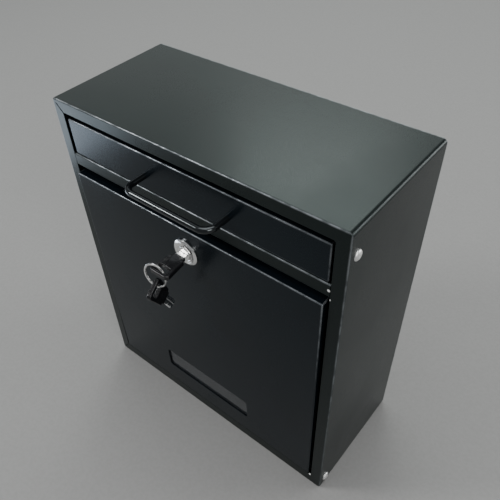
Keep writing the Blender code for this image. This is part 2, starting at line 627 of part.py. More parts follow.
def build_lock(work: Workshop) -> None:
    """The cam lock: the housing and its nut on the door, and the plug, cam and screw that turn in it."""
    axis = at(0, 0, LOCK_HEIGHT)
    back = facing(axis, BACKWARD)
    bore = PLUG_RADIUS + GAP
    flange_back = DOOR_FACE - GAP
    barrel, flange = LOCK_BARREL_RADIUS, LOCK_FLANGE_RADIUS
    housing = [(bore, LOCK_BARREL_BACK), (barrel, LOCK_BARREL_BACK), (barrel, flange_back)]
    housing += [(flange, flange_back), (flange, LOCK_FLANGE_FRONT + 0.7 * MM)]
    housing += [(flange - 0.9 * MM, LOCK_FLANGE_FRONT), (bore, LOCK_FLANGE_FRONT)]
    turned(work, "lock_housing", housing, BRIGHT_NICKEL, "door_hinge", back)
    hole = barrel + GAP
    washer_front = DOOR_FACE + THIN_SHEET + GAP
    washer_back = washer_front + LOCK_WASHER_THICKNESS
    turned(
        work,
        "lock_washer",
        washer_profile(LOCK_WASHER_RADIUS, hole, washer_front, washer_back),
        PLATED_STEEL,
        "door_hinge",
        back,
    )
    nut_front = at(0, washer_back + GAP, LOCK_HEIGHT)
    nut_back = nut_front + LOCK_NUT_THICKNESS * BACKWARD
    nut_mesh = rod(LOCK_NUT_ACROSS_FLATS / math.sqrt(3), nut_front, nut_back, "lock_nut", 6)
    nut = work.part("lock_nut", nut_mesh, PLATED_STEEL, "door_hinge")
    work.cut(nut, rod(hole, at(0, 0, LOCK_HEIGHT), at(0, 10 * MM, LOCK_HEIGHT)))

    work.pivot("lock_axis", axis, "door_hinge")
    plug = [(0, PLUG_BACK), (PLUG_RADIUS, PLUG_BACK), (PLUG_RADIUS, PLUG_FRONT + 0.3 * MM)]
    plug += [(PLUG_RADIUS - 0.3 * MM, PLUG_FRONT), (0, PLUG_FRONT)]
    body = turned(work, "lock_plug", plug, BRIGHT_NICKEL, "lock_axis", back)
    half_tail = PLUG_TAIL_SIDE / 2
    tail = block(
        at(-half_tail, PLUG_BACK - MM, LOCK_HEIGHT - half_tail),
        at(half_tail, PLUG_TAIL_BACK, LOCK_HEIGHT + half_tail),
    )
    work.cut(body, tail, operation="UNION")
    keyway_x, keyway_z = BLADE_WIDTH / 2 + GAP, BLADE_THICKNESS / 2 + GAP
    keyway_low = at(-keyway_x, PLUG_FRONT - MM, LOCK_HEIGHT - keyway_z)
    work.cut(body, block(keyway_low, at(keyway_x, KEYWAY_BACK, LOCK_HEIGHT + keyway_z)))
    screw_bore = CAM_SCREW_RADIUS + GAP
    work.cut(body, rod(screw_bore, at(0, PLUG_BORE_FRONT, LOCK_HEIGHT), at(0, 20 * MM, LOCK_HEIGHT)))

    cam_middle = CAM_FRONT + CAM_THICKNESS / 2
    outline = rectangle(CAM_REACH + CAM_HEEL, CAM_WIDTH, ((CAM_HEEL - CAM_REACH) / 2, 0))
    square = rectangle(PLUG_TAIL_SIDE + 2 * GAP, PLUG_TAIL_SIDE + 2 * GAP)
    edge = rounded_outline(outline, [CAM_CORNER] * 4)
    face_back = Matrix.Translation(at(0, cam_middle, LOCK_HEIGHT)) @ Matrix.Rotation(math.pi / 2, 4, "X")
    cam = flat_curve("lock_cam", [edge, square], CAM_THICKNESS)
    work.part("lock_cam", cam, PLATED_STEEL, "lock_axis", face_back)
    front = CAM_FRONT + CAM_THICKNESS + GAP
    rear = front + CAM_WASHER_THICKNESS
    washer = washer_profile(CAM_WASHER_RADIUS, screw_bore, front, rear)
    turned(work, "cam_washer", washer, PLATED_STEEL, "lock_axis", back)
    seat = rear + GAP
    crown = seat + CAM_SCREW_HEAD_HEIGHT
    screw = screw_profile(CAM_SCREW_HEAD, CAM_SCREW_RADIUS, seat, crown, PLUG_BORE_FRONT + 0.4 * MM)
    cam_screw = turned(work, "cam_screw", screw, PLATED_STEEL, "lock_axis", back)
    cut_cross_recess(work, cam_screw, at(0, crown, LOCK_HEIGHT), CAM_SCREW_HEAD)


def key_head(work: Workshop, name: str, pivot: str, place: Matrix) -> None:
    """A key's plastic head. Local +Y runs from its wide end towards the blade's tip, and +Z is its thickness."""
    wide, base, neck = KEY_HEAD_WIDTH / 2, KEY_HEAD_BASE_WIDTH / 2, KEY_NECK_WIDTH / 2
    length, total = KEY_HEAD_LENGTH, KEY_HEAD_LENGTH + KEY_NECK_LENGTH
    outline = [(-wide, 0), (wide, 0), (base, length), (neck, length), (neck, total)]
    outline += [(-neck, total), (-neck, length), (-base, length)]
    radii = [3 * MM, 3 * MM, 1.2 * MM, 0, 0.6 * MM, 0.6 * MM, 0, 1.2 * MM]
    slot_middle = KEY_END_BAR + KEY_SLOT_LENGTH / 2
    slot = rounded_outline(rectangle(KEY_SLOT_WIDTH, KEY_SLOT_LENGTH, (0, slot_middle)), [1.2 * MM] * 4)
    plate = flat_curve(name, [rounded_outline(outline, radii), slot], KEY_HEAD_THICKNESS)
    head = meshed(work, work.part(name, plate, BLACK_PLASTIC, pivot, place))
    pocket = Vector((BLADE_WIDTH / 2 + GAP, 0, BLADE_THICKNESS / 2 + GAP))
    low = Vector((-pocket.x, total - BLADE_IN_HEAD - GAP, -pocket.z))
    high = Vector((pocket.x, total + MM, pocket.z))
    work.cut(head, block(low, high), place)


def key_blade(work: Workshop, name: str, pivot: str, place: Matrix) -> None:
    """A key's flat blade in the head's frame, with a bevelled tip and shallow cuts along one edge."""
    start = KEY_HEAD_LENGTH + KEY_NECK_LENGTH - BLADE_IN_HEAD
    neck = KEY_HEAD_LENGTH + KEY_NECK_LENGTH
    tip = neck + BLADE_OUT
    half = BLADE_WIDTH / 2
    outline = [(-half, start), (half, start), (half, neck + 3.5 * MM)]
    cut_depths = (1.3 * MM, 0.7 * MM, 1.6 * MM)
    pitch = 2.9 * MM
    for index, deep in enumerate(cut_depths):
        middle = neck + 5.2 * MM + index * pitch
        outline += [(half - deep, middle - 0.3 * MM), (half - deep, middle + 0.3 * MM)]
        outline += [(half - 0.1 * MM, middle + pitch / 2)]
    outline += [(half - 2.2 * MM, tip), (-half + 1.4 * MM, tip), (-half, tip - 1.4 * MM)]
    work.part(name, flat_curve(name, [outline], BLADE_THICKNESS), BRIGHT_NICKEL, pivot, place)


def build_keys(work: Workshop) -> None:
    """The key in the lock, the ring through its head, and the spare key that hangs from the ring."""
    end = at(0, KEY_END, LOCK_HEIGHT)
    in_lock = Matrix.Translation(end)
    key_blade(work, "key_blade", "lock_axis", in_lock)
    key_head(work, "key_head", "lock_axis", in_lock)


def build_ring(work: Workshop) -> None:
    """The ring hangs upright through the key's slot, and the spare key's slot hangs on the ring's lowest part."""
    normal = RING_NORMAL.normalized()
    centre = at(RING_ACROSS, RING_OUT, RING_HEIGHT)
    bpy.ops.mesh.primitive_torus_add(
        major_radius=RING_RADIUS, minor_radius=RING_WIRE, major_segments=40, minor_segments=10
    )
    torus = bpy.context.object
    mesh = smooth(torus.data.copy())
    bpy.data.objects.remove(torus)
    side_bar = -(KEY_HEAD_WIDTH + KEY_SLOT_WIDTH) / 4
    work.pivot("ring_pivot", at(side_bar, RING_OUT, LOCK_HEIGHT), "lock_axis")
    work.part("key_ring", mesh, BRIGHT_NICKEL, "ring_pivot", facing(centre, normal))

    hang = SPARE_HANG.normalized()
    across = (SPARE_WIDTH_RUN - SPARE_WIDTH_RUN.dot(hang) * hang).normalized()
    turn = Matrix((across, hang, across.cross(hang))).transposed().to_4x4()
    lowest = centre + (DOWN - DOWN.dot(normal) * normal).normalized() * RING_RADIUS
    work.pivot("spare_pivot", lowest, "ring_pivot")
    place = Matrix.Translation(at(SPARE_ACROSS, SPARE_OUT, SPARE_HEIGHT)) @ turn
    key_blade(work, "spare_key_blade", "spare_pivot", place)
    key_head(work, "spare_key_head", "spare_pivot", place)


def main() -> None:
    clear_scene()
    work = Workshop()
    build_casing(work)
    build_back_panel(work)
    build_cross_rail(work)
    build_pins(work, "flap", FLAP_PIVOT)
    build_pins(work, "door", DOOR_PIVOT)
    build_flap(work)
    build_handle(work)
    build_door(work)
    build_window(work)
    build_lock(work)
    build_keys(work)
    work.pivots["door_hinge"].rotation_euler.x = DOOR_REST_LEAN
    bpy.context.view_layer.update()
    build_ring(work)


main()
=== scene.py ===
"""The looks of a lockable sheet-steel letter box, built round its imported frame.

Sizes in the classes are millimetres: x to the right of the middle, depth back from the plane of the
front frame, and height up from the base. world() turns them into the frame's metres.
"""

import json
import logging
import math
from collections.abc import Callable, Sequence
from dataclasses import dataclass
from enum import Enum

import bmesh
import bpy
import numpy as np
from mathutils import Euler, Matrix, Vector

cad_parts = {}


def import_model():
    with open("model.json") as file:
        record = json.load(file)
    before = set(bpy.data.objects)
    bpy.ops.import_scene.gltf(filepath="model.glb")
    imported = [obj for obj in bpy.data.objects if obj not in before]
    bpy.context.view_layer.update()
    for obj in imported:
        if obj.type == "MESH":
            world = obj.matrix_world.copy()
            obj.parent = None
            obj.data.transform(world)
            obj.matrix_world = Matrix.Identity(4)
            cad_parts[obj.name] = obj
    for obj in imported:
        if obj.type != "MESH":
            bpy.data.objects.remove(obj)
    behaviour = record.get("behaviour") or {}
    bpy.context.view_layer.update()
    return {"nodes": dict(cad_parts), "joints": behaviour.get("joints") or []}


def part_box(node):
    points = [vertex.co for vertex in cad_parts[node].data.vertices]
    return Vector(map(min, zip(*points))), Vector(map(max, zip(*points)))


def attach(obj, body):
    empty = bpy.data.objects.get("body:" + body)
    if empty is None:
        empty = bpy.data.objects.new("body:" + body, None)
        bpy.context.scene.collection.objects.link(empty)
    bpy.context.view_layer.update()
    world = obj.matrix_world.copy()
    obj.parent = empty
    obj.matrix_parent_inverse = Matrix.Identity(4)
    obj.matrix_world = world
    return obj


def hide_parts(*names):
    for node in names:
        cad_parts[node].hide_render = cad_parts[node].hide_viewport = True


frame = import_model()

log = logging.getLogger("letter_box")

MM = 0.001
CORNER_STEPS = 8
FOLD_STEPS = 8
TURN_STEPS = 72
MERGE = 1e-6
CREASE = math.radians(32)
SIDES = (("left", -1.0), ("right", 1.0))
SHELL_LOW = np.array(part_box("casing_shell")[0])
RIM = 0.15
SMALLEST = 1e-9

Colour = tuple[float, float, float]
Box = tuple[Sequence[float], Sequence[float]]


class Body(Enum):
    """The bodies that pieces ride on."""

    CASING = "casing"
    FLAP = "flap"
    DOOR = "door"
    LOCK = "lock_core"
    KEY = "key"
    RING = "ring"
    SPARE = "spare_key"


class Slot(Enum):
    """The record's material slots."""

    CASING = "casing_paint"
    PANEL = "panel_paint"
    HANDLE = "handle_paint"
    ZINC = "zinc_steel"
    PINS = "pin_nickel"
    BUSHES = "bush_plastic"
    PANE = "smoked_pane"
    LOCK = "lock_chrome"
    KEY_PLASTIC = "key_plastic"
    KEY_NICKEL = "key_nickel"


# ---------------------------------------------------------------- places


def world(x: np.ndarray, depth: np.ndarray, height: np.ndarray) -> np.ndarray:
    """Points in metres from millimetres: (x, front plane + depth, base + height).

    Args:
        x: distance to the right of the middle.
        depth: distance behind the plane of the front frame.
        height: distance above the base.

    Returns:
        An array of points, one more dimension than the broadcast of the three.
    """
    stacked = np.stack(np.broadcast_arrays(x, depth, height), -1).astype(float)
    return stacked * MM + (0.0, SHELL_LOW[1], SHELL_LOW[2])


def joint(name: str) -> dict:
    """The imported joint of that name."""
    return next(found for found in frame["joints"] if found["name"] == name)


def leaned(points: np.ndarray) -> np.ndarray:
    """Turns points of the shut door to where it rests.

    About the hinge line (y0, z0), by the rest angle t: y = y0 + (y - y0) cos t - (z - z0) sin t,
    and z = z0 + (y - y0) sin t + (z - z0) cos t.

    Args:
        points: points in metres, of the door while shut.

    Returns:
        The same points on the door at rest.
    """
    hinge = joint("door_hinge")
    angle = math.radians(-hinge["range_deg"][0])
    _, y0, z0 = hinge["pos_m"]
    y, z = points[..., 1] - y0, points[..., 2] - z0
    turned = points.copy()
    turned[..., 1] = y0 + y * math.cos(angle) - z * math.sin(angle)
    turned[..., 2] = z0 + y * math.sin(angle) + z * math.cos(angle)
    return turned


# ---------------------------------------------------------------- surfaces


@dataclass
class Patch:
    """One surface as a grid of points, rows by columns, whose columns close on themselves.

    The rows may close too, which makes a ring, or either end may be capped with a flat face.
    """

    points: np.ndarray
    wrap_rows: bool = False
    cap_first: bool = False
    cap_last: bool = False

    def faces(self, start: int) -> list[list[int]]:
        """Quads (r, c) (r, c + 1) (r + 1, c + 1) (r + 1, c), and the caps.

        Args:
            start: number of the patch's first vertex.

        Returns:
            Each face as a list of vertex numbers.
        """
        rows, columns = self.points.shape[:2]
        row = np.arange(rows if self.wrap_rows else rows - 1)[:, None]
        column = np.arange(columns)[None, :]
        right, below = (column + 1) % columns, (row + 1) % rows
        here, next_row = row * columns, below * columns
        corners = np.stack((here + column, here + right, next_row + right, next_row + column), -1)
        faces = (corners.reshape(-1, 4) + start).tolist()
        if self.cap_first:
            faces.append(list(range(start + columns - 1, start - 1, -1)))
        if self.cap_last:
            last = start + (rows - 1) * columns
            faces.append(list(range(last, last + columns)))
        return faces


def make_piece(
    name: str,
    patches: Sequence[Patch],
    material: bpy.types.Material,
    body: Body,
    nodes: Sequence[str] = (),
) -> bpy.types.Object:
    """Makes closed surfaces into one piece that rides on a body.

    Args:
        name: the piece's name.
        patches: its surfaces, in metres, in the frame's own place.
        material: its finish.
        body: the body it moves with.
        nodes: CAD nodes that the piece stands for.

    Returns:
        The new object, at the origin.
    """
    points = np.concatenate([patch.points.reshape(-1, 3) for patch in patches])
    faces: list[list[int]] = []
    start = 0
    for patch in patches:
        faces += patch.faces(start)
        start += patch.points.shape[0] * patch.points.shape[1]
    mesh = bpy.data.meshes.new(name)
    mesh.from_pydata(points.tolist(), [], faces)
    return finish_piece(name, mesh, material, body.value, nodes)


def finish_piece(
    name: str,
    mesh: bpy.types.Mesh,
    material: bpy.types.Material,
    body: str,
    nodes: Sequence[str],
) -> bpy.types.Object:
    """Merges doubles, faces the mesh outwards, shades it and hangs it on its body.

    Args:
        name: the piece's name.
        mesh: its mesh, in metres.
        material: its finish.
        body: the body it moves with.
        nodes: CAD nodes that the piece stands for.

    Returns:
        The new object.
    """
    sculpt = bmesh.new()
    sculpt.from_mesh(mesh)
    bmesh.ops.remove_doubles(sculpt, verts=sculpt.verts, dist=MERGE)
    bmesh.ops.dissolve_degenerate(sculpt, edges=sculpt.edges, dist=MERGE)
    bmesh.ops.recalc_face_normals(sculpt, faces=sculpt.faces)
    sculpt.to_mesh(mesh)
    sculpt.free()
    mesh.materials.clear()
    mesh.materials.append(material)
    mesh.shade_smooth()
    mesh.set_sharp_from_angle(angle=CREASE)
    piece = bpy.data.objects.new(name, mesh)
    bpy.context.scene.collection.objects.link(piece)
    shading = piece.modifiers.new("Flat faces first", "WEIGHTED_NORMAL")
    shading.keep_sharp = True
    shading.weight = 100
    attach(piece, body)
    if nodes:
        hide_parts(*nodes)
    log.info("%s: %d faces on %s", name, len(mesh.polygons), body)
    return piece


def fillet(
    corners: Sequence[tuple[float, float]],
    radii: Sequence[float],
    steps: int = CORNER_STEPS,
    closed: bool = True,
) -> np.ndarray:
    """The outline of a polygon whose corners are arcs.

    At a corner p, with unit vectors a and b towards its neighbours at half-angle h, the arc's centre
    is p + r / sin h along a + b. Its points are the spherical blend of the two radii that touch the
    sides.

    Args:
        corners: the polygon's corners.
        radii: each corner's radius. A radius of 0 leaves the corner as a single point.
        steps: segments to an arc.
        closed: whether the last corner joins the first.

    Returns:
        The outline's points, one row each.
    """
    points = np.array(corners, float)
    before = points - np.roll(points, 1, 0)
    after = np.roll(points, -1, 0) - points
    share = np.linspace(0.0, 1.0, steps + 1)[:, None]
    outline = []
    for index, radius in enumerate(radii):
        end = index in (0, len(corners) - 1) and not closed
        if radius <= 0 or end:
            outline.append(points[index][None])
            continue
        a = -before[index] / np.linalg.norm(before[index])
        b = after[index] / np.linalg.norm(after[index])
        half = math.acos(float(np.clip(a @ b, -1, 1))) / 2
        centre = points[index] + (a + b) / np.linalg.norm(a + b) * radius / math.sin(half)
        touch = radius / math.tan(half)
        first, last = points[index] + a * touch - centre, points[index] + b * touch - centre
        sweep = math.pi - 2 * half
        arc = (np.sin((1 - share) * sweep) * first + np.sin(share * sweep) * last) / math.sin(sweep)
        outline.append(centre + arc)
    return np.concatenate(outline)


def rectangle(half: float, low: float, high: float, radius: float) -> np.ndarray:
    """A rounded rectangle from -half to half across and low to high."""
    return fillet([(-half, low), (half, low), (half, high), (-half, high)], [radius] * 4)


def ribbon(centre: np.ndarray, thickness: float) -> np.ndarray:
    """The closed section of a sheet: its centre line moved half its thickness to each side.

    Args:
        centre: the open centre line, one point a row.
        thickness: the sheet's thickness.

    Returns:
        The closed outline.
    """
    run = np.gradient(centre, axis=0)
    normal = np.stack([-run[:, 1], run[:, 0]], -1) / np.linalg.norm(run, axis=1, keepdims=True)
    offset = normal * thickness / 2
    return np.concatenate([centre + offset, (centre - offset)[::-1]])


def shrunk(outline: np.ndarray, inset: float | np.ndarray) -> np.ndarray:
    """A closed anticlockwise outline moved inwards along its normals.

    Args:
        outline: the outline's points, one a row.
        inset: how far each point moves.

    Returns:
        The moved points.
    """
    run = np.roll(outline, -1, 0) - np.roll(outline, 1, 0)
    inward = np.stack([-run[:, 1], run[:, 0]], -1) / np.linalg.norm(run, axis=1, keepdims=True)
    return outline + inward * inset


def fold(radius: float, steps: int = FOLD_STEPS) -> list[tuple[float, float]]:
    """(inset, depth) round a folded edge: r (1 - cos t) and r (1 - sin t), over a quarter turn."""
    turn = np.linspace(0.0, math.pi / 2, steps + 1)
    return list(zip(radius * (1 - np.cos(turn)), radius * (1 - np.sin(turn))))


def sweep_tube(path: np.ndarray, section: np.ndarray, binormal: np.ndarray) -> np.ndarray:
    """Carries a section along a path: point = path + u n + v b, with n = b x tangent.

    Args:
        path: the path's points, one a row.
        section: the section's points (u, v), one a row.
        binormal: b, a fixed direction that the path turns about.

    Returns:
        The grid of points, a row for each point of the path.
    """
    tangent = np.gradient(path, axis=0)
    normal = np.cross(binormal, tangent)
    normal /= np.linalg.norm(normal, axis=1, keepdims=True)
    across = normal[:, None, :] * section[None, :, :1]
    return path[:, None, :] + across + binormal * section[None, :, 1:]


def circle(radius: float, steps: int = TURN_STEPS) -> np.ndarray:
    """Points (r cos t, r sin t) round a circle."""
    turn = np.linspace(0.0, math.tau, steps, endpoint=False)
    return radius * np.stack([np.cos(turn), np.sin(turn)], -1)


def lathe(profile: Sequence[tuple[float, float]], steps: int = TURN_STEPS) -> np.ndarray:
    """Turns (radius, along) points about an axis: (r cos t, r sin t, along).

    Args:
        profile: the section's points.
        steps: points round the axis.

    Returns:
        The grid of local points, a row for each point of the profile.
    """
    radius, along = np.array(profile, float).T
    rim = circle(1.0, steps)
    flat = radius[:, None, None] * rim[None]
    lift = np.broadcast_to(along[:, None, None], (len(radius), steps, 1))
    return np.concatenate([flat, lift], -1)


def along_rays(outline: np.ndarray, angles: np.ndarray) -> np.ndarray:
    """Where rays from the origin cross a closed outline that winds once round it.

    Each ray d meets the side from p to q at the distance (p x (q - p)) / (d x (q - p)).

    Args:
        outline: the outline's points, anticlockwise.
        angles: the rays' angles.

    Returns:
        One point for each ray.
    """
    bearing = np.mod(np.arctan2(outline[:, 1], outline[:, 0]), math.tau)
    order = np.argsort(bearing)
    points = outline[order]
    side = np.searchsorted(bearing[order], np.mod(angles, math.tau), side="right") - 1
    p, q = points[side], points[(side + 1) % len(points)]
    ray = np.stack([np.cos(angles), np.sin(angles)], -1)
    run = q - p
    above = p[:, 0] * run[:, 1] - p[:, 1] * run[:, 0]
    below = ray[:, 0] * run[:, 1] - ray[:, 1] * run[:, 0]
    return ray * (above / below)[:, None]


def flat_row(outline: np.ndarray, w: float) -> np.ndarray:
    """An outline's points (u, v) with the same w."""
    return np.column_stack([outline, np.full(len(outline), w)])


def plate(points: np.ndarray) -> Patch:
    """A run of rows with a flat cap at either end."""
    return Patch(points, cap_first=True, cap_last=True)


def slab(outline: np.ndarray, low: float, high: float, edge: float) -> np.ndarray:
    """A plate with chamfered edges: the outline, shrunk by the edge at both faces.

    Args:
        outline: closed anticlockwise outline.
        low: the lower face.
        high: the upper face.
        edge: width and height of the chamfer.

    Returns:
        Local points (u, v, w), four rows.
    """
    rows = ((edge, low), (0.0, low + edge), (0.0, high - edge), (edge, high))
    return np.stack([flat_row(shrunk(outline, inset), w) for inset, w in rows])


def smoothstep(value: np.ndarray) -> np.ndarray:
    """3 t^2 - 2 t^3, with t clipped to 0..1."""
    t = np.clip(value, 0.0, 1.0)
    return t * t * (3 - 2 * t)


# ---------------------------------------------------------------- finishes


class Op(Enum):
    """What a Math node works out."""

    ADD = "ADD"
    SUBTRACT = "SUBTRACT"
    MULTIPLY = "MULTIPLY"
    MINIMUM = "MINIMUM"
    MAXIMUM = "MAXIMUM"
    ABSOLUTE = "ABSOLUTE"


class Graph:
    """A material's node tree, with short calls for the nodes that the finishes use."""

    def __init__(self, name: str) -> None:
        """Starts a material with one Principled shader and Object coordinates.

        Args:
            name: the material's name.
        """
        self.material = bpy.data.materials.new(name)
        self.material.use_nodes = True
        self.tree = self.material.node_tree
        self.shader = self.tree.nodes["Principled BSDF"]
        self.place = self.tree.nodes.new("ShaderNodeTexCoord").outputs["Object"]

    def feed(self, socket: bpy.types.NodeSocket, value: object) -> None:
        """Links a socket to the input, or sets the input to a plain value.

        Args:
            socket: the input.
            value: a socket to link from, or a number, colour or vector.
        """
        if isinstance(value, bpy.types.NodeSocket):
            self.tree.links.new(value, socket)
        else:
            socket.default_value = value

    def set(self, **values: object) -> None:
        """Sets the shader's inputs, whose names have _ for a space."""
        for name, value in values.items():
            self.feed(self.shader.inputs[name.replace("_", " ")], value)

    def math(self, operation: Op, first: object, second: object = 0.0) -> bpy.types.NodeSocket:
        """A Math node.

        Args:
            operation: what it works out.
            first: its first input.
            second: its second input, where it has one.

        Returns:
            The result.
        """
        node = self.tree.nodes.new("ShaderNodeMath")
        node.operation = operation.value
        self.feed(node.inputs[0], first)
        self.feed(node.inputs[1], second)
        return node.outputs[0]

    def stretch(self, scale: Colour) -> bpy.types.NodeSocket:
        """Object coordinates scaled along each axis.

        Args:
            scale: the factor along x, y and z.

        Returns:
            The scaled coordinates.
        """
        node = self.tree.nodes.new("ShaderNodeMapping")
        self.feed(node.inputs["Vector"], self.place)
        node.inputs["Scale"].default_value = scale
        return node.outputs[0]

    def noise(
        self, size: float, detail: float = 2.0, roughness: float = 0.5, vector: object = None
    ) -> bpy.types.NodeSocket:
        """Noise whose features are about that many millimetres across.

        Args:
            size: the features' size in millimetres.
            detail: octaves of finer noise.
            roughness: strength of each finer octave.
            vector: coordinates to read, or None for Object coordinates.

        Returns:
            The value, around 0.5.
        """
        node = self.tree.nodes.new("ShaderNodeTexNoise")
        self.feed(node.inputs["Vector"], vector or self.place)
        node.inputs["Scale"].default_value = 1 / (size * MM)
        node.inputs["Detail"].default_value = detail
        node.inputs["Roughness"].default_value = roughness
        return node.outputs["Fac"]

    def cells(self, size: float) -> bpy.types.NodeSocket:
        """A crowd of cells, each with its own random grey.

        Args:
            size: the cells' size in millimetres.

        Returns:
            The grey, from 0 to 1.
        """
        node = self.tree.nodes.new("ShaderNodeTexVoronoi")
        self.feed(node.inputs["Vector"], self.place)
        node.inputs["Scale"].default_value = 1 / (size * MM)
        return self.split(node.outputs["Color"])[0]

    def split(self, vector: bpy.types.NodeSocket) -> list[bpy.types.NodeSocket]:
        """Takes a vector apart.

        Args:
            vector: the vector.

        Returns:
            Its x, y and z.
        """
        node = self.tree.nodes.new("ShaderNodeSeparateXYZ")
        self.feed(node.inputs[0], vector)
        return list(node.outputs)

    def ramp(
        self, value: object, low: float, high: float, start: float = 0.0, end: float = 1.0
    ) -> bpy.types.NodeSocket:
        """A smooth rise from start to end as the value goes from low to high.

        Args:
            value: what it follows.
            low: where the rise begins.
            high: where it ends.
            start: the result below it.
            end: the result above it.

        Returns:
            The result.
        """
        node = self.tree.nodes.new("ShaderNodeMapRange")
        node.interpolation_type = "SMOOTHSTEP"
        ends = {"From Min": low, "From Max": high, "To Min": start, "To Max": end}
        for name, number in ends.items():
            node.inputs[name].default_value = number
        self.feed(node.inputs["Value"], value)
        return node.outputs["Result"]

    def blend(self, share: object, first: object, second: object) -> bpy.types.NodeSocket:
        """Two colours, one going over to the other.

        Args:
            share: how much of the second there is, from 0 to 1.
            first: the colour at 0.
            second: the colour at 1.

        Returns:
            The blended colour.
        """
        node = self.tree.nodes.new("ShaderNodeMix")
        node.data_type = "RGBA"
        self.feed(node.inputs["Factor"], share)
        self.feed(node.inputs[6], solid(first))
        self.feed(node.inputs[7], solid(second))
        return node.outputs[2]

    def bump(self, height: object, depth: float, below: object = None) -> bpy.types.NodeSocket:
        """A bump of that depth in millimetres, on top of another.

        Args:
            height: the pattern, from 0 to 1.
            depth: height of the pattern's full range, in millimetres.
            below: the bump it lies on, or None.

        Returns:
            The new normal.
        """
        node = self.tree.nodes.new("ShaderNodeBump")
        node.inputs["Distance"].default_value = depth * MM
        self.feed(node.inputs["Height"], height)
        if below is not None:
            self.feed(node.inputs["Normal"], below)
        return node.outputs[0]

    def spot(self, centre: Sequence[float], radius: float) -> bpy.types.NodeSocket:
        """A round mask about a point.

        Args:
            centre: the point in metres.
            radius: its radius in millimetres.

        Returns:
            The mask: 1 within half the radius, going to 0 at the whole of it.
        """
        node = self.tree.nodes.new("ShaderNodeVectorMath")
        node.operation = "DISTANCE"
        self.feed(node.inputs[0], self.place)
        node.inputs[1].default_value = centre
        return self.ramp(node.outputs["Value"], radius * MM / 2, radius * MM, 1.0, 0.0)

    def edges(
        self, low: Sequence[float], high: Sequence[float], reach: float
    ) -> bpy.types.NodeSocket:
        """A mask for the outer edges of a box.

        With a, b and c the distances inside the three nearest sides, the middle one of them is small
        only near an edge. It is max(min(a, b), min(max(a, b), c)).

        Args:
            low: the box's lowest corner in metres.
            high: the box's highest corner in metres.
            reach: how far the mask reaches from an edge, in millimetres.

        Returns:
            The mask, 1 at an edge.
        """
        inside = []
        for axis, along in enumerate(self.split(self.place)):
            middle, half = (low[axis] + high[axis]) / 2, (high[axis] - low[axis]) / 2
            away = self.math(Op.ABSOLUTE, self.math(Op.SUBTRACT, along, middle))
            inside.append(self.math(Op.SUBTRACT, half, away))
        a, b, c = inside
        larger = self.math(Op.MAXIMUM, a, b)
        second = self.math(Op.MAXIMUM, self.math(Op.MINIMUM, a, b), self.math(Op.MINIMUM, larger, c))
        return self.ramp(second, 0.0, reach * MM, 1.0, 0.0)


def solid(colour: object) -> object:
    """A plain colour with its alpha, or a socket as it is."""
    return colour if isinstance(colour, bpy.types.NodeSocket) else (*colour, 1.0)


def lighter(colour: Colour, factor: float) -> Colour:
    """The colour times the factor."""
    return tuple(channel * factor for channel in colour)


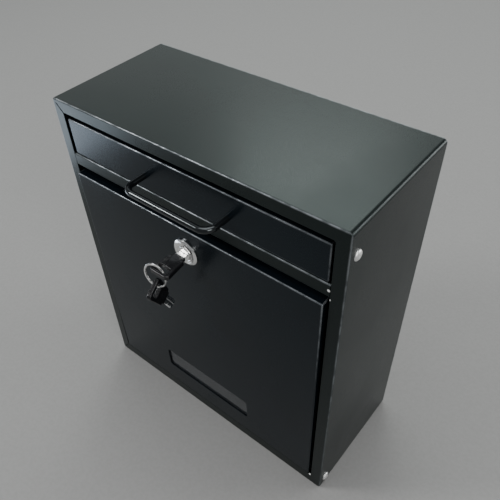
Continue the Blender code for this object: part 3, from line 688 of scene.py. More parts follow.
@dataclass(frozen=True)
class PowderCoat:
    """Baked powder paint on sheet steel: a fine grain, a slow wave, pale spots, a painted tint in its
    reflections, and pale metallic edges that are partly rubbing and partly a painted highlight.
    """

    name: str
    colour: Colour
    roughness: float
    grain: float = 0.010
    wave: float = 0.04
    # The pale metallic edges (strength, reach and grey): partly rubbing through to the steel, partly a
    # painted highlight.
    rub: float = 0.9
    gloss: float = 0.32
    # Colour of the paint's reflections: a painted tint standing in for the colour of the reflected
    # light.
    tint: Colour = (0.88, 0.97, 1.0)
    rub_and_highlight_reach: float = 1.3
    # Radius of the pale, near-white spots painted at given points.
    pale_spot_radius: float = 1.3
    steel_and_highlight_grey: Colour = (0.30, 0.32, 0.34)
    # Colour of those pale spots.
    pale_spot_colour: Colour = (0.92, 0.92, 0.90)

    def material(
        self, node: str, box: Box | None = None, pale_spots: Sequence[Sequence[float]] = ()
    ) -> bpy.types.Material:
        """The finish for one piece: pale metallic edges along a box, partly rubbing and partly a
        painted highlight, and pale spots.

        Args:
            node: the CAD node whose box has the edges.
            box: another box's lowest and highest corners in metres, or None for the node's own.
            pale_spots: centres of the pale, near-white spots, in metres.

        Returns:
            The new material.
        """
        graph = Graph(self.name)
        cloud = graph.noise(55.0, 4.0)
        fleck = graph.noise(0.45, 2.0)
        colour = graph.blend(graph.ramp(cloud, 0.35, 0.7), self.colour, lighter(self.colour, 1.2))
        flecked = graph.ramp(fleck, 0.55, 0.8, 0.0, 0.3)
        colour = graph.blend(flecked, colour, lighter(self.colour, 2.0))
        # Edges go a pale metallic grey in noisy patches, more strongly towards the top: partly rubbing
        # through to the steel, partly a painted highlight. The share named handled paints that rise
        # with height.
        rub_and_highlight_strength = graph.ramp(graph.noise(9.0, 5.0, 0.6), 0.36, 0.62, 0.35, 1.0)
        low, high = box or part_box(node)
        handled = graph.ramp(graph.split(graph.place)[2], low[2], high[2], self.rub * 0.4, self.rub)
        rub_and_highlight_strength = graph.math(Op.MULTIPLY, rub_and_highlight_strength, handled)
        rub_and_highlight_mask = graph.math(Op.MULTIPLY, graph.edges(low, high, self.rub_and_highlight_reach), rub_and_highlight_strength)
        colour = graph.blend(rub_and_highlight_mask, colour, self.steel_and_highlight_grey)
        # Pale, near-white spots painted at the given points.
        for pale_spot in pale_spots:
            colour = graph.blend(graph.spot(pale_spot, self.pale_spot_radius), colour, self.pale_spot_colour)
        smear = graph.noise(60.0, 4.0, 0.55, graph.stretch((1.0, 1.0, 0.6)))
        smear = graph.ramp(smear, 0.4, 0.72, -0.015, 0.025)
        rough = graph.math(Op.ADD, smear, self.roughness)
        rough = graph.math(Op.ADD, rough, graph.ramp(fleck, 0.3, 0.8, -0.02, 0.05))
        normal = graph.bump(graph.noise(85.0, 1.0), self.wave)
        normal = graph.bump(graph.noise(0.9, 3.0, 0.55), self.grain, normal)
        graph.set(Base_Color=colour, Roughness=rough, Normal=normal, IOR=1.5)
        # The specular tint paints the colour of the reflected light into the reflections.
        graph.set(Specular_IOR_Level=self.gloss, Specular_Tint=solid(self.tint), Metallic=rub_and_highlight_mask)
        return graph.material


@dataclass(frozen=True)
class Plating:
    """Plated metal with fine rub marks, tarnish in patches and a faint grain."""

    name: str
    colour: Colour
    roughness: float
    marks: Colour = (1.0, 1.0, 1.0)
    depth: float = 0.004

    def material(self) -> bpy.types.Material:
        """Rub marks, drawn out along the axes whose marks factor is small, over tarnish.

        Returns:
            The new material.
        """
        graph = Graph(self.name)
        tarnish = graph.ramp(graph.noise(3.2, 5.0, 0.6), 0.45, 0.75)
        colour = graph.blend(tarnish, self.colour, lighter(self.colour, 0.72))
        lines = graph.noise(0.22, 3.0, 0.65, graph.stretch(self.marks))
        rough = graph.math(Op.ADD, graph.ramp(lines, 0.35, 0.7, -0.05, 0.12), self.roughness)
        rough = graph.math(Op.ADD, rough, graph.math(Op.MULTIPLY, tarnish, 0.08))
        normal = graph.bump(lines, self.depth)
        graph.set(Base_Color=colour, Metallic=1.0, Roughness=rough, Normal=normal)
        return graph.material


@dataclass(frozen=True)
class ZincPlate:
    """Zinc plate on small steel hardware: pale cells of slightly different greys."""

    name: str
    colour: Colour = (0.56, 0.57, 0.58)
    roughness: float = 0.32

    def material(self) -> bpy.types.Material:
        """Spangled cells with a few warm stains.

        Returns:
            The new material.
        """
        graph = Graph(self.name)
        spangle = graph.cells(1.4)
        colour = graph.blend(graph.ramp(spangle, 0.2, 0.9), self.colour, lighter(self.colour, 0.78))
        stain = graph.ramp(graph.noise(4.0, 4.0), 0.5, 0.75, 0.0, 0.5)
        colour = graph.blend(stain, colour, (0.42, 0.38, 0.30))
        rough = graph.math(Op.ADD, graph.ramp(spangle, 0.0, 1.0, -0.05, 0.10), self.roughness)
        normal = graph.bump(graph.noise(0.5, 3.0), 0.006)
        graph.set(Base_Color=colour, Metallic=1.0, Roughness=rough, Normal=normal)
        return graph.material


@dataclass(frozen=True)
class MouldedPlastic:
    """Black moulded plastic: a spark-eroded grain, a slow shrink wave and a handled polish."""

    name: str
    colour: Colour
    roughness: float
    grain: float = 0.012

    def material(self) -> bpy.types.Material:
        """A fine grain over a shrink wave, smoother where it is handled.

        Returns:
            The new material.
        """
        graph = Graph(self.name)
        handled = graph.ramp(graph.noise(5.0, 3.0), 0.4, 0.7)
        colour = graph.blend(handled, self.colour, lighter(self.colour, 1.5))
        rough = graph.math(Op.SUBTRACT, self.roughness, graph.math(Op.MULTIPLY, handled, 0.12))
        normal = graph.bump(graph.noise(8.0, 1.0), 0.03)
        normal = graph.bump(graph.noise(0.28, 2.0, 0.7), self.grain, normal)
        graph.set(Base_Color=colour, Roughness=rough, Normal=normal, IOR=1.48)
        return graph.material


@dataclass(frozen=True)
class SmokedAcrylic:
    """A smoked clear pane with a few fine scuffs."""

    name: str
    colour: Colour
    roughness: float

    def material(self) -> bpy.types.Material:
        """A dark clear sheet, dulled along its scuffs.

        Returns:
            The new material.
        """
        graph = Graph(self.name)
        scuff = graph.noise(1.2, 4.0, 0.7, graph.stretch((0.12, 1.0, 1.0)))
        scuff = graph.ramp(scuff, 0.62, 0.75, 0.0, 0.16)
        tint = graph.blend(graph.noise(30.0, 2.0), self.colour, lighter(self.colour, 0.85))
        rough = graph.math(Op.ADD, scuff, self.roughness)
        graph.set(Base_Color=tint, Roughness=rough, Normal=graph.bump(graph.noise(24.0, 1.0), 0.03))
        graph.set(Transmission_Weight=0.85, IOR=1.49)
        return graph.material


# The casing's reflections are tinted greenish and the panels' bluish: painted colours of the reflected
# light.
CASING_PAINT = PowderCoat(
    "casing_paint", (0.0046, 0.0068, 0.0066), 0.30, gloss=0.22, tint=(0.79, 0.99, 0.97)
)
PANEL_PAINT = PowderCoat(
    "panel_paint", (0.0024, 0.0042, 0.0060), 0.24, gloss=0.225, tint=(0.66, 0.86, 1.0)
)
WIRE_PAINT = PowderCoat(
    "handle_paint", (0.0040, 0.0044, 0.0050), 0.14, grain=0.003, wave=0.0, rub=0.0, gloss=0.6
)
PIN_NICKEL = Plating("pin_nickel", (0.97, 0.97, 0.96), 0.40)
LOCK_NICKEL = Plating("lock_nickel", (0.93, 0.93, 0.92), 0.15, depth=0.002)
KEY_NICKEL = Plating("key_nickel", (0.92, 0.92, 0.91), 0.20, marks=(1.0, 0.15, 0.15))
HARDWARE_ZINC = ZincPlate("hardware_zinc")
KEY_PLASTIC = MouldedPlastic("key_plastic", (0.006, 0.006, 0.007), 0.20)
BUSH_NYLON = MouldedPlastic("bush_nylon", (0.020, 0.020, 0.021), 0.50)
PANE = SmokedAcrylic("smoked_pane", (0.22, 0.24, 0.26), 0.06)


def smooth_copy(
    node: str, body: Body, material: bpy.types.Material
) -> bpy.types.Object:
    """A CAD node's own shape, merged so that its round faces shade smoothly.

    Args:
        node: the CAD node to stand for.
        body: the body it rides on.
        material: its finish.

    Returns:
        The new piece.
    """
    mesh = frame["nodes"][node].data.copy()
    name = f"{node}_finished"
    return finish_piece(name, mesh, material, body.value, [node])


# ---------------------------------------------------------------- sheet metal


@dataclass
class Casing:
    """The folded shell with its front frame, the rail, the back pan and the pivot pins."""

    half: float = 130.0
    depth: float = 114.0
    height: float = 304.0
    corner: float = 3.0
    inner_corner: float = 1.6
    bend: float = 1.3
    sheet: float = 1.0
    edge: float = 0.2
    opening: tuple[float, float, float] = (120.0, 12.5, 294.0)
    slit_width: float = 1.15
    slit_depth: float = 0.9
    slit_inset: tuple[float, float] = (3.0, 3.2)
    rail_low: float = 247.5
    rail_high: float = 258.5
    rail_back: float = 12.0
    rail_half: float = 128.7
    rail_step: float = 119.75
    rail_fold: float = 0.9
    brim: float = 7.5
    brim_half: float = 114.05
    pin_places: tuple[tuple[str, float, float], ...] = (("flap", 8.5, 283.0), ("door", 8.0, 11.2))
    pin_head: float = 3.9
    pin_crown: float = 1.8
    pin_shank: float = 2.0
    pin_tail: float = 3.2
    pin_ends: tuple[float, float] = (115.6, 130.1)
    # Points, in millimetres, where the paint gets a pale, near-white spot.
    rail_pale_spots: tuple[Colour, ...] = ((118.8, 0.0, 253.4),)
    frame_pale_spots: tuple[Colour, ...] = ((119.9, 0.5, 246.0), (118.9, 0.0, 12.2))

    def outline(self, inset: float, radius: float) -> np.ndarray:
        """The shell's outline, that far inside its outer face."""
        return rectangle(self.half - inset, inset, self.height - inset, radius)

    def frame_opening(self, grow: float) -> np.ndarray:
        """The opening in the front frame, that much larger than it is."""
        half, low, high = self.opening
        return rectangle(half + grow, low - grow, high + grow, self.slit_radius())

    def slit_radius(self) -> float:
        """The radius whose corner arc is as wide, from point to point, as the open mitre."""
        return self.slit_width * 1.4

    def shell(self) -> Patch:
        """The shell as one closed skin of rounded rectangles.

        The rows run from the back rim along the outside, round the front fold, across the narrow
        frame to its opening, and back along the inside. The middle columns of the left corners dip at
        the open mitres.

        Returns:
            The closed ring of rows.
        """
        sheet, edge, bend, corner = self.sheet, self.edge, self.bend, self.corner
        inner, back, past_bend, mitre = self.inner_corner, self.depth, bend + 0.3, self.slit_radius()
        outer = self.outline(0, corner)
        rows = [(self.outline(RIM, corner - RIM), back), (outer, back - RIM), (outer, bend + 0.4)]
        rows += [(self.outline(inset, corner - inset), depth) for inset, depth in fold(bend)]
        rows += [(self.outline(past_bend, 1.2), 0.0), (self.outline(self.slit_inset[0], mitre), 0.0)]
        slit_rows = slice(len(rows), len(rows) + 5)
        rows += [(self.outline(self.slit_inset[1], mitre), 0.0), (self.frame_opening(edge), 0.0)]
        rows += [(self.frame_opening(0), edge), (self.frame_opening(0), sheet - edge)]
        rows += [(self.frame_opening(edge), sheet), (self.outline(past_bend, 1.2), sheet)]
        rows += [(self.outline(bend, 1.2), sheet), (self.outline(sheet, inner), bend + 0.1)]
        rows += [(self.outline(sheet, inner), back - RIM), (self.outline(sheet - RIM, 1.8), back)]
        outlines = np.stack([outline for outline, _ in rows])
        depths = np.repeat(np.array([[depth] for _, depth in rows]), outlines.shape[1], 1)
        middle = np.array([0, 3]) * (CORNER_STEPS + 1) + CORNER_STEPS // 2
        for offset in (-1, 0, 1):
            cut = depths[slit_rows, middle + offset]
            depths[slit_rows, middle + offset] = np.maximum(cut, self.slit_depth)
        return Patch(world(outlines[..., 0], depths, outlines[..., 1]), wrap_rows=True)

    def rail(self) -> Patch:
        """The rail: a hat section carried along x.

        Its web drops behind the frame at both ends, and its brims stop short of them.

        Returns:
            The capped run of sections.
        """
        steps = np.add.outer((self.brim_half, self.rail_step), (-0.05, 0.05)).ravel()
        half = np.append(steps, self.rail_half)
        across = np.concatenate([-half[::-1], half])
        sheet, bend = self.sheet, self.rail_fold
        low, high = self.rail_low + sheet / 2, self.rail_high - sheet / 2
        back = self.rail_back - sheet / 2
        sections = []
        for x in np.abs(across):
            web = sheet / 2 if x < self.rail_step else self.bend + 0.55
            brim = self.brim if x < self.brim_half else 1.4
            corners = [(back, low - brim), (back, low), (web, low)]
            corners += [(web, high), (back, high), (back, high + brim)]
            centre = fillet(corners, [0, bend, bend, bend, bend, 0], 6, closed=False)
            sections.append(ribbon(centre, sheet))
        grid = np.stack(sections)
        points = world(across[:, None], grid[..., 0], grid[..., 1])
        return plate(points)

    def pin(self, side: float, depth: float, height: float) -> Patch:
        """A headed pin through a side wall: a lathe shape about x, with an elliptical crown.

        Args:
            side: -1 for the left wall, 1 for the right.
            depth: the axis's depth.
            height: the axis's height.

        Returns:
            The closed pin.
        """
        turn = np.linspace(0.0, math.pi / 2, 12)
        head, shank, tail, (end, seat) = self.pin_head, self.pin_shank, self.pin_tail, self.pin_ends
        profile = list(zip(head * np.sin(turn), seat + self.pin_crown * np.cos(turn)))
        profile += [(head - 0.1, seat - RIM), (shank, seat - RIM), (shank, end + 1.0)]
        profile += [(tail, end + 1.0), (tail - 0.2, end + 0.2), (tail - 0.6, end), (0.0, end)]
        local = lathe(profile)
        return Patch(world(side * local[..., 2], depth + local[..., 0], height + local[..., 1]))

    def build(self) -> None:
        """Makes and dresses every piece of the casing."""
        body = Body.CASING
        frame_pale_spots, rail_pale_spots = (
            world(*np.array(places).T).tolist() for places in (self.frame_pale_spots, self.rail_pale_spots)
        )
        paint = CASING_PAINT.material("casing_shell", pale_spots=frame_pale_spots)
        make_piece("casing_body", [self.shell()], paint, body, ["casing_shell"])
        web = [(-self.half, 0.0, self.rail_low), (self.half, self.depth, self.rail_high)]
        web_box = world(*np.array(web).T).tolist()
        paint = CASING_PAINT.material("cross_rail", web_box, rail_pale_spots)
        make_piece("rail_hat_section", [self.rail()], paint, body, ["cross_rail"])
        smooth_copy("back_panel", body, CASING_PAINT.material("back_panel"))
        nickel, nylon = PIN_NICKEL.material(), BUSH_NYLON.material()
        for name, depth, height in self.pin_places:
            for side, sign in SIDES:
                node = f"{name}_pin_{side}"
                pin = self.pin(sign, depth, height)
                make_piece(f"{node}_headed", [pin], nickel, body, [node])
                smooth_copy(f"{name}_spacer_{side}", body, nylon)


@dataclass
class Pan:
    """Sizes of a shallow pressed pan that faces forward, with walls that reach back."""

    half: float
    low: float
    high: float
    face: float
    back: float
    corner: float = 1.2
    bend: float = 1.0
    sheet: float = 0.8

    def wall_rows(self) -> list[tuple[float, float, float]]:
        """The pan's section, from the edge of the outer face to the edge of the inner.

        The rows go outwards over the fold, back along the outside of the wall, round its rim and
        forward along its inside. A share of 0 measures from the face, and of 1 from the rim.

        Returns:
            (inset, depth, share of the wall's depth) for each row.
        """
        sheet, past_bend = self.sheet, self.bend + 0.3
        rows = [(past_bend, 0.0, 0.0)]
        rows += [(inset, depth, 0.0) for inset, depth in fold(self.bend)[::-1]]
        rows += [(0.0, -RIM, 1.0), (RIM, 0.0, 1.0), (sheet - RIM, 0.0, 1.0), (sheet, -RIM, 1.0)]
        rows += [(sheet, sheet + 0.25, 0.0), (sheet + 0.08, sheet + 0.08, 0.0)]
        rows += [(sheet + 0.25, sheet, 0.0), (past_bend, sheet, 0.0)]
        return rows


@dataclass
class Ears:
    """A pan's two hinge ears: thin plates across x, just inside the walls that they grow from."""

    front: float
    back: float
    bottom: float
    top: float
    corner: float = 1.6
    inner: float = 116.98
    outer: float = 117.62
    edge: float = 0.08

    def points(self) -> list[np.ndarray]:
        """Both ears' grids, in metres, as if the pan were shut.

        Returns:
            The left ear's grid and the right ear's.
        """
        front, back, bottom, top = self.front, self.back, self.bottom, self.top
        corners = [(front, bottom), (back, bottom), (back, top), (front, top)]
        local = slab(fillet(corners, [self.corner] * 4), self.inner, self.outer, self.edge)
        return [world(sign * local[..., 2], local[..., 0], local[..., 1]) for _, sign in SIDES]


@dataclass
class Flap:
    """The drop flap and its wire handle."""

    pan: Pan
    ears: Ears
    handle_span: float = 39.0
    handle_height: float = 269.6
    handle_reach: float = 18.5
    handle_bend: float = 8.5
    wire: float = 2.5

    def face(self) -> Patch:
        """The flap's pan, with its flat face capped on both sides.

        Returns:
            The run of rows from the outer face to the inner.
        """
        pan = self.pan
        outlines, depths = [], []
        for inset, depth, share in pan.wall_rows():
            radius = max(pan.corner - inset, 0.4)
            outlines.append(rectangle(pan.half - inset, pan.low + inset, pan.high - inset, radius))
            depths.append(depth + pan.face + share * (pan.back - pan.face))
        grid = np.stack(outlines)
        points = world(grid[..., 0], np.array(depths)[:, None], grid[..., 1])
        return plate(points)

    def handle(self) -> Patch:
        """The handle: a round wire carried along a line, an arc, the bar, an arc and a line.

        Returns:
            The capped tube.
        """
        root, span, reach = self.pan.face - 0.05, self.handle_span, self.handle_reach
        corners = [(-span, root), (-span, -reach), (span, -reach), (span, root)]
        bends = fillet(corners, [0, self.handle_bend, self.handle_bend, 0], 22, closed=False)
        ends = np.linspace(0.0, 1.0, 8)[:, None]
        start = bends[0] + (bends[1] - bends[0]) * ends
        finish = bends[-2] + (bends[-1] - bends[-2]) * ends
        path = np.concatenate([start[:-1], bends[1:-1], finish[1:]])
        line = world(path[:, 0], path[:, 1], self.handle_height)
        points = sweep_tube(line, circle(self.wire * MM, 40), np.array([0, 0, 1.0]))
        return plate(points)

    def build(self) -> None:
        """Makes and dresses every piece of the flap."""
        body = Body.FLAP
        ears = [plate(points) for points in self.ears.points()]
        paint = PANEL_PAINT.material("drop_flap")
        make_piece("flap_pan", [self.face(), *ears], paint, body, ["drop_flap"])
        wire = WIRE_PAINT.material("pull_handle")
        make_piece("handle_wire", [self.handle()], wire, body, ["pull_handle"])
        for side, _ in SIDES:
            smooth_copy(f"handle_screw_{side}", body, HARDWARE_ZINC.material())


@dataclass
class Door:
    """The tilting door: a pan with side and top walls, a window opening and hinge ears."""

    pan: Pan
    ears: Ears
    notch: float = 18.6
    stub: float = 0.85
    lip: float = 0.05
    window_half: float = 49.0
    window: tuple[float, float] = (38.0, 62.0)
    window_corner: float = 2.5
    pane_lap: float = 4.0
    pane_corner: float = 2.5
    pane_depths: tuple[float, float] = (0.8, 2.0)
    pane_edge: float = 0.12

    def stepped(self, half: float, heights: Sequence[float], radius: float) -> np.ndarray:
        """A rounded rectangle with two more points in each side.

        Args:
            half: half its width.
            heights: the heights of a side's four points, upwards.
            radius: its corners' radius.

        Returns:
            The outline's points.
        """
        right = [(half, height) for height in heights]
        left = [(-half, height) for height in reversed(heights)]
        return fillet([*right, *left], [radius, 0, 0, radius] * 2)

    def outline(self, inset: float) -> np.ndarray:
        """The door's outline, with points where its side walls begin above the hinge ears.

        Args:
            inset: how far it lies inside the outer wall.

        Returns:
            The outline's points.
        """
        pan, step = self.pan, self.notch
        heights = (pan.low + inset, step - 0.1, step, pan.high - inset)
        return self.stepped(pan.half - inset, heights, max(pan.corner - inset, 0.4))

    def wall(self) -> np.ndarray:
        """How far back the wall reaches: in full above the ears, and a stub below.

        Returns:
            The depth at each point of the door's outline.
        """
        arc = CORNER_STEPS + 1
        short, full = self.pan.face + self.stub, self.pan.back
        counts = (arc, 1, 1, arc, arc, 1, 1, arc)
        reach = (short, short, full, full, full, full, short, short)
        return np.repeat(reach, counts)

    def opening(self, grow: float) -> np.ndarray:
        """The window's outline with as many points as the door's.

        Args:
            grow: how far it lies outside the opening.

        Returns:
            The outline's points.
        """
        low, high = self.window
        middle = (low + high) / 2
        heights = (low - grow, middle - 2, middle + 2, high + grow)
        return self.stepped(self.window_half + grow, heights, self.window_corner + grow)

    def face(self) -> Patch:
        """The door's pan, from the window over the face and walls to the inside.

        Returns:
            The closed ring of rows.
        """
        pan = self.pan
        outlines, depths = [], []
        reach = self.wall()
        for inset, depth, share in pan.wall_rows():
            outlines.append(self.outline(inset))
            near_face = np.minimum(depth + pan.face, reach - self.lip)
            depths.append(depth + reach if share else near_face)
        for grow, depth in ((RIM, pan.sheet), (0.0, pan.sheet - RIM), (0.0, RIM), (RIM, 0.0)):
            outlines.append(self.opening(grow))
            depths.append(np.full(len(reach), pan.face + depth))
        grid = np.stack(outlines)
        return Patch(leaned(world(grid[..., 0], np.stack(depths), grid[..., 1])), wrap_rows=True)

    def pane(self) -> Patch:
        """The pane: a plate behind the opening, which laps it all round.

        Returns:
            The capped plate.
        """
        lap, (low, high) = self.pane_lap, self.window
        outline = rectangle(self.window_half + lap, low - lap, high + lap, self.pane_corner)
        local = slab(outline, *self.pane_depths, self.pane_edge)
        return plate(leaned(world(local[..., 0], local[..., 2], local[..., 1])))

    def build(self) -> None:
        """Makes and dresses every piece of the door."""
        body = Body.DOOR
        ears = [plate(leaned(points)) for points in self.ears.points()]
        paint = PANEL_PAINT.material("door_panel")
        make_piece("door_pan", [self.face(), *ears], paint, body, ["door_panel"])
        make_piece(
            "window_pane_clear", [self.pane()], PANE.material(), body, ["window_pane"]
        )
        smooth_copy("pane_retainer", body, PANEL_PAINT.material("pane_retainer"))


# ---------------------------------------------------------------- lock and keys


@dataclass
class Lock:
    """The cam lock: its plated housing and plug, and the hardware behind the door."""

    height: float = 221.0
    bore: float = 6.25
    flange: float = 11.5
    barrel: float = 9.2
    front: float = -3.3
    flange_back: float = -1.05
    dome: float = 1.25
    housing_back: float = 12.8
    plug: float = 6.0
    plug_front: float = -3.6
    plug_back: float = 13.3
    tail_half: float = 3.0
    tail_back: float = 17.8
    keyway: tuple[float, float] = (4.0, 1.3)
    keyway_back: float = 8.6
    steps: int = 80

    def placed(self, local: np.ndarray) -> np.ndarray:
        """Local (across, up, back) points on the leaning door's lock axis."""
        return leaned(world(local[..., 0], local[..., 2], self.height + local[..., 1]))

    def housing(self) -> Patch:
        """The housing: a tube turned about the lock's axis, with a crowned and chamfered flange.

        Returns:
            The closed tube.
        """
        front, bore, flange, back = self.front, self.bore, self.flange, self.flange_back
        profile = [(bore, self.housing_back), (bore, front + 0.45), (bore + 0.3, front + 0.12)]
        profile += [(bore + 0.7, front), (bore + 1.5, front)]
        profile += [(bore + 1.7, front + 0.12), (bore + 1.95, front + 0.12)]
        share = np.linspace(0.0, 1.0, 9)
        profile += zip(bore + 2.15 + share * (flange - bore - 2.25), front + self.dome * share**2)
        profile += [(flange, front + self.dome + 0.12), (flange, back - 0.1), (flange - 0.1, back)]
        profile += [(self.barrel, back), (self.barrel, self.housing_back)]
        return Patch(self.placed(lathe(profile)), wrap_rows=True)

    def box_rays(self, half_x: float, half_z: float) -> np.ndarray:
        """A rectangle read along equal angles t: the reach is min(x / |cos t|, z / |sin t|).

        Args:
            half_x: half its width.
            half_z: half its height.

        Returns:
            One point for each angle.
        """
        ray = circle(1.0, self.steps)
        reach = (half_x, half_z) / np.maximum(abs(ray), SMALLEST)
        return ray * reach.min(1)[:, None]

    def core(self) -> Patch:
        """The plug: from its square tail forward over its barrel and face, and back down the keyway.

        Returns:
            The capped run of rows.
        """
        key_x, key_z = self.keyway
        tail = self.box_rays(self.tail_half, self.tail_half)
        keyway, keyway_lip = self.box_rays(key_x, key_z), self.box_rays(key_x + 0.25, key_z + 0.25)
        front, back, radius = self.plug_front, self.plug_back, self.plug
        rows = [(tail * 0.93, self.tail_back), (tail, self.tail_back - 0.2), (tail, back)]
        discs = [(radius - 0.2, back), (radius, back - 0.2), (radius, front + 0.35)]
        discs += [(radius - 0.1, front + 0.12), (radius - 0.35, front), (radius - 1.05, front)]
        rows += [(circle(reach, self.steps), depth) for reach, depth in discs]
        rows += [(keyway_lip, front), (keyway, front + 0.3), (keyway, self.keyway_back)]
        points = np.stack([flat_row(outline, depth) for outline, depth in rows])
        return plate(self.placed(points))

    def build(self) -> None:
        """Makes and dresses every piece of the lock."""
        nickel, zinc = LOCK_NICKEL.material(), HARDWARE_ZINC.material()
        housing, core = [self.housing()], [self.core()]
        make_piece("lock_flange_and_barrel", housing, nickel, Body.DOOR, ["lock_housing"])
        make_piece("lock_core_plug", core, nickel, Body.LOCK, ["lock_plug"])
        for node in ("lock_washer", "lock_nut"):
            smooth_copy(node, Body.DOOR, zinc)
        for node in ("lock_cam", "cam_washer", "cam_screw"):
            smooth_copy(node, Body.LOCK, zinc)


@dataclass
class KeySet:
    """The key in the lock, the split ring through its head and the spare key on the ring."""

    head_length: float = 20.0
    head_half: float = 9.2
    base_half: float = 7.0
    neck_half: float = 5.2
    total: float = 23.5
    half_thick: float = 1.9
    slot_half: float = 5.25
    slot: tuple[float, float] = (2.4, 8.8)
    head_edge: float = 0.75
    slot_lip: float = 0.35
    neck_taper: float = 0.26
    blade_half: float = 3.7
    blade_thick: float = 1.0
    groove: float = 0.42
    blade_start: float = 15.5
    blade_out: float = 15.0
    key_end: float = -30.5
    lock_height: float = 221.0
    cuts: tuple[float, ...] = (1.3, 0.7, 1.6)
    first_cut: float = 5.2
    cut_step: float = 2.9
    ring_centre: tuple[float, float, float] = (-5.8, -30.8, 214.6)
    ring_normal: tuple[float, float, float] = (-0.11, 0.988, -0.113)
    ring_radius: float = 9.65
    ring_side: float = 0.42
    ring_gap: float = 0.5
    ring_wire: tuple[float, float] = (0.68, 0.38)
    crossing_deg: float = 35.0
    spare_place: tuple[float, float, float] = (-4.5, -36.6, 207.2)
    spare_hang: tuple[float, float, float] = (-0.054, 0.44, -0.896)
    spare_run: tuple[float, float, float] = (0.18, -0.88, -0.442)

    def head(self) -> np.ndarray:
        """A key's head: rings between its outline and its ring slot, read along the same rays.

        The rows go over the rounded outer edge and through the slot. The neck is thinner: w is scaled
        by 1 - 0.26 s(v), with s a smooth step at the shoulder.

        Returns:
            Local points (across, towards the tip, thickness), a closed ring of rows.
        """
        wide, base, neck, length = self.head_half, self.base_half, self.neck_half, self.head_length
        corners = [(-wide, 0), (wide, 0), (base, length), (neck, length), (neck, self.total)]
        corners += [(-neck, self.total), (-neck, length), (-base, length)]
        outer = fillet(corners, [3.0, 3.0, 1.2, 0, 0.8, 0.8, 0, 1.2])
        low, high = self.slot
        inner = rectangle(self.slot_half, low, high, 1.2)
        middle = np.array([0.0, (low + high) / 2])
        even = np.linspace(0.0, math.tau, 96, endpoint=False)
        found = np.concatenate([np.arctan2(*(line - middle).T[::-1]) for line in (outer, inner)])
        rays = np.unique(np.round(np.mod(np.concatenate([even, found]), math.tau), 4))
        edge, lip, thick = self.head_edge, self.slot_lip, self.half_thick
        turn = np.linspace(0.0, math.pi / 2, 6)
        over = [("outer", edge * (1 - math.sin(t)), thick - edge * (1 - math.cos(t))) for t in turn]
        into = [("inner", lip * (1 - math.sin(t)), thick - lip * (1 - math.cos(t))) for t in turn]
        top = [*into[::-1], *over]
        rows = top + [(line, inset, -w) for line, inset, w in top[::-1]]
        outlines = {"outer": outer, "inner": inner}
        lines = {line: along_rays(found - middle, rays) for line, found in outlines.items()}
        grid = []
        for line, inset, w in rows:
            flat = shrunk(lines[line], inset if line == "outer" else -inset) + middle
            neck_share = smoothstep((flat[:, 1] - length + 0.4) / 0.8)
            grid.append(np.column_stack([flat, w * (1 - self.neck_taper * neck_share)]))
        return np.stack(grid)

    def blade(self) -> np.ndarray:
        """A key's blade: a grooved section carried from inside the head to the tip.

        One edge is cut: its half-width is w - max over cuts of d (1 - max(0, |v - m| - f) / r), and
        both edges close in at the tip.

        Returns:
            Local points, a row for each step along the blade.
        """
        tip = self.total + self.blade_out
        along = np.linspace(self.blade_start, tip, 140)
        half, thick, chamfer = self.blade_half, self.blade_thick, 0.15
        floor = self.groove - thick
        side = [(-half, chamfer - thick), (chamfer - half, -thick), (-1.5, -thick), (-1.15, floor)]
        side += [(0.35, floor), (0.7, -thick), (half - chamfer, -thick), (half, chamfer - thick)]
        section = np.array([*side, *[(-u, -w) for u, w in side]])
        middles = self.total + self.first_cut + self.cut_step * np.arange(len(self.cuts))
        notch = np.array(self.cuts) * (1 - np.maximum(0, abs(along[:, None] - middles) - 0.3) / 1.1)
        cut = np.maximum(notch.max(1), 0.0) + np.maximum(0.0, along - tip + 2.2)
        rise = np.maximum(0.0, along - tip + 1.4)
        across = np.broadcast_to(section[:, 0], (len(along), len(section))).copy()
        right = np.minimum(across, (half - cut)[:, None])
        across = np.maximum(right, (rise - half)[:, None])
        lift = np.broadcast_to(section[:, 1], across.shape)
        return np.stack([across, np.broadcast_to(along[:, None], across.shape), lift], -1)

    def in_lock(self, local: np.ndarray) -> np.ndarray:
        """Local key points with the key in the lock: across is x, and the tip points back."""
        across, along, lift = np.moveaxis(local, -1, 0)
        return leaned(world(across, self.key_end + along, self.lock_height + lift))

    def hanging(self, local: np.ndarray) -> np.ndarray:
        """Local key points on the spare key: p = place + u across + v hang + w (across x hang).

        Args:
            local: points across, towards the tip and through the thickness.

        Returns:
            The points in metres.
        """
        hang = np.array(self.spare_hang) / np.linalg.norm(self.spare_hang)
        across = np.array(self.spare_run) - np.dot(self.spare_run, hang) * hang
        across /= np.linalg.norm(across)
        axes = np.stack([across, hang, np.cross(across, hang)])
        return world(*self.spare_place) + (local @ axes) * MM

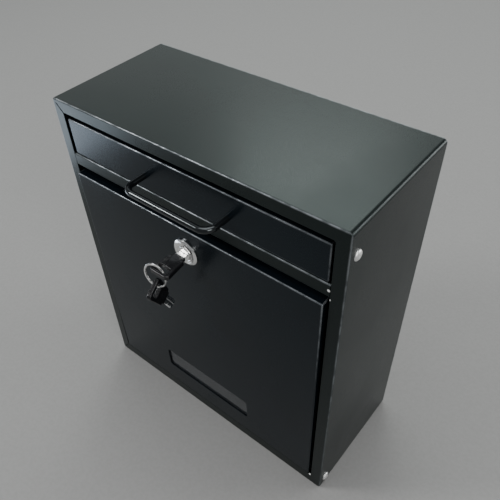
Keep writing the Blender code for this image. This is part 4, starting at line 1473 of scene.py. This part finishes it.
    def ring(self) -> Patch:
        """The split ring: a flat wire wound twice round, whose turns lie side by side.

        The point at angle t is c + R (cos t e + sin t f) + h s(t) n. The offset s goes from -1 to 1 in
        a smooth step halfway along the wire, where the wire crosses between its own two ends.

        Returns:
            The capped coil.
        """
        normal = np.array(self.ring_normal) / np.linalg.norm(self.ring_normal)
        first = np.cross(normal, (0.0, 0.0, 1.0))
        first /= np.linalg.norm(first)
        second = np.cross(normal, first)
        crossing, gap, side = math.radians(self.crossing_deg), self.ring_gap, self.ring_side
        turn = np.linspace(crossing + gap - math.tau, crossing - gap + math.tau, 220)
        shift = side * (2 * smoothstep((turn - crossing) / (2 * gap - 0.1) + 0.5) - 1)
        spoke = np.cos(turn)[:, None] * first + np.sin(turn)[:, None] * second
        path = world(*self.ring_centre) + (self.ring_radius * spoke + shift[:, None] * normal) * MM
        wide, tall = self.ring_wire
        section = fillet([(-wide, -tall), (wide, -tall), (wide, tall), (-wide, tall)], [0.2] * 4, 4)
        return plate(sweep_tube(path, section * MM, normal))

    def build(self) -> None:
        """Makes and dresses both keys and the ring."""
        plastic, nickel = KEY_PLASTIC.material(), KEY_NICKEL.material()
        places: tuple[tuple[str, Body, Callable], ...] = (
            ("key", Body.KEY, self.in_lock),
            ("spare_key", Body.SPARE, self.hanging),
        )
        for name, body, place in places:
            head = Patch(place(self.head()), wrap_rows=True)
            node = f"{name}_head"
            make_piece(f"{name}_moulded_head", [head], plastic, body, [node])
            blade = plate(place(self.blade()))
            make_piece(f"{name}_cut_blade", [blade], nickel, body, [f"{name}_blade"])
        make_piece("split_ring", [self.ring()], nickel, Body.RING, ["key_ring"])


# ---------------------------------------------------------------- studio


@dataclass(frozen=True)
class Softbox:
    """A rectangular area light, which faces the middle of the box unless it has a direction."""

    name: str
    place: Colour
    size: tuple[float, float]
    power: float
    colour: Colour = (1.0, 1.0, 1.0)
    towards: Colour | None = None

    def build(self) -> None:
        """Puts the light in the scene, unseen by the camera."""
        data = bpy.data.lights.new(self.name, "AREA")
        data.shape = "RECTANGLE"
        data.size, data.size_y = self.size
        data.energy, data.color = self.power, self.colour
        light = bpy.data.objects.new(self.name, data)
        light.visible_camera = False
        light.location = self.place
        aim = Vector(self.towards) if self.towards else -light.location.normalized()
        light.rotation_euler = aim.to_track_quat("-Z", "Y").to_euler()
        bpy.context.scene.collection.objects.link(light)


LIGHTS = (
    Softbox("wall_light", (-1.1, 1.45, 1.5), (2.8, 2.0), 13.0, (0.94, 1.0, 0.97)),
    Softbox("wall_glow", (-0.86, 1.42, 1.62), (0.75, 0.6), 9.0, (0.95, 1.0, 0.97)),
    Softbox("corner_light", (1.4, 1.4, 0.55), (1.2, 0.9), 18.0),
    Softbox("key_light", (-1.25, -1.05, 1.25), (0.45, 0.45), 17.0),
    Softbox("ceiling_light", (0.0, -0.1, 2.6), (2.0, 2.0), 40.0),
    Softbox(
        "window_glow", (-0.78, -0.40, -0.145), (0.62, 0.5), 4.2, (0.76, 0.87, 1.0), (0.0, 0.0, 1.0)
    ),
    Softbox("fill_light", (2.4, -1.2, 1.6), (1.2, 1.2), 34.0, (1.0, 0.99, 0.97)),
)


@dataclass
class Studio:
    """A plain pale floor, soft lights and the camera."""

    camera_place: Colour = (0.23282, -0.32170, 0.35391)
    camera_turn: Colour = (45.556, 2.671, 39.847)
    lens: float = 40.986
    sensor: float = 36.0
    shift: tuple[float, float] = (0.0338, 0.0291)
    floor_half: float = 4.0
    floor_colour: Colour = (0.25, 0.25, 0.246)

    def camera(self) -> None:
        """Puts the camera at the viewing angle."""
        data = bpy.data.cameras.new("camera")
        data.lens, data.sensor_width = self.lens, self.sensor
        data.shift_x, data.shift_y = self.shift
        camera = bpy.data.objects.new("camera", data)
        camera.location = self.camera_place
        camera.rotation_euler = Euler([math.radians(angle) for angle in self.camera_turn])
        bpy.context.scene.collection.objects.link(camera)
        bpy.context.scene.camera = camera

    def floor(self) -> None:
        """A wide floor under the base, matt and very slightly mottled."""
        half, level = self.floor_half, float(SHELL_LOW[2])
        mesh = bpy.data.meshes.new("floor")
        corners = ((-half, -half), (half, -half), (half, half), (-half, half))
        mesh.from_pydata([(x, y, level) for x, y in corners], [], [(0, 1, 2, 3)])
        graph = Graph("floor_matt")
        mottle = graph.ramp(graph.noise(3.0, 4.0), 0.3, 0.7)
        colour = graph.blend(mottle, self.floor_colour, lighter(self.floor_colour, 0.94))
        graph.set(Base_Color=colour, Roughness=0.65)
        mesh.materials.append(graph.material)
        floor = bpy.data.objects.new("floor", mesh)
        bpy.context.scene.collection.objects.link(floor)

    def build(self) -> None:
        """Makes the camera, the floor, the lights and the even grey surroundings."""
        self.camera()
        self.floor()
        for light in LIGHTS:
            light.build()
        surroundings = bpy.data.worlds.new("surroundings")
        surroundings.use_nodes = True
        background = surroundings.node_tree.nodes["Background"]
        background.inputs["Color"].default_value = (0.30, 0.31, 0.32, 1.0)
        background.inputs["Strength"].default_value = 0.8
        bpy.context.scene.world = surroundings


def main() -> None:
    """Builds the studio and every part of the letter box."""
    logging.basicConfig(level=logging.INFO, format="%(name)s: %(message)s")
    Studio().build()
    Casing().build()
    flap = Pan(half=117.7, low=258.9, high=289.4, face=0.8, back=9.6, bend=0.9)
    Flap(flap, Ears(front=8.2, back=13.0, bottom=278.5, top=287.5)).build()
    door = Pan(half=117.7, low=14.3, high=242.5, face=-0.8, back=9.6)
    Door(door, Ears(front=4.2, back=12.0, bottom=7.0, top=24.0)).build()
    Lock().build()
    KeySet().build()


if __name__ == "__main__":
    main()
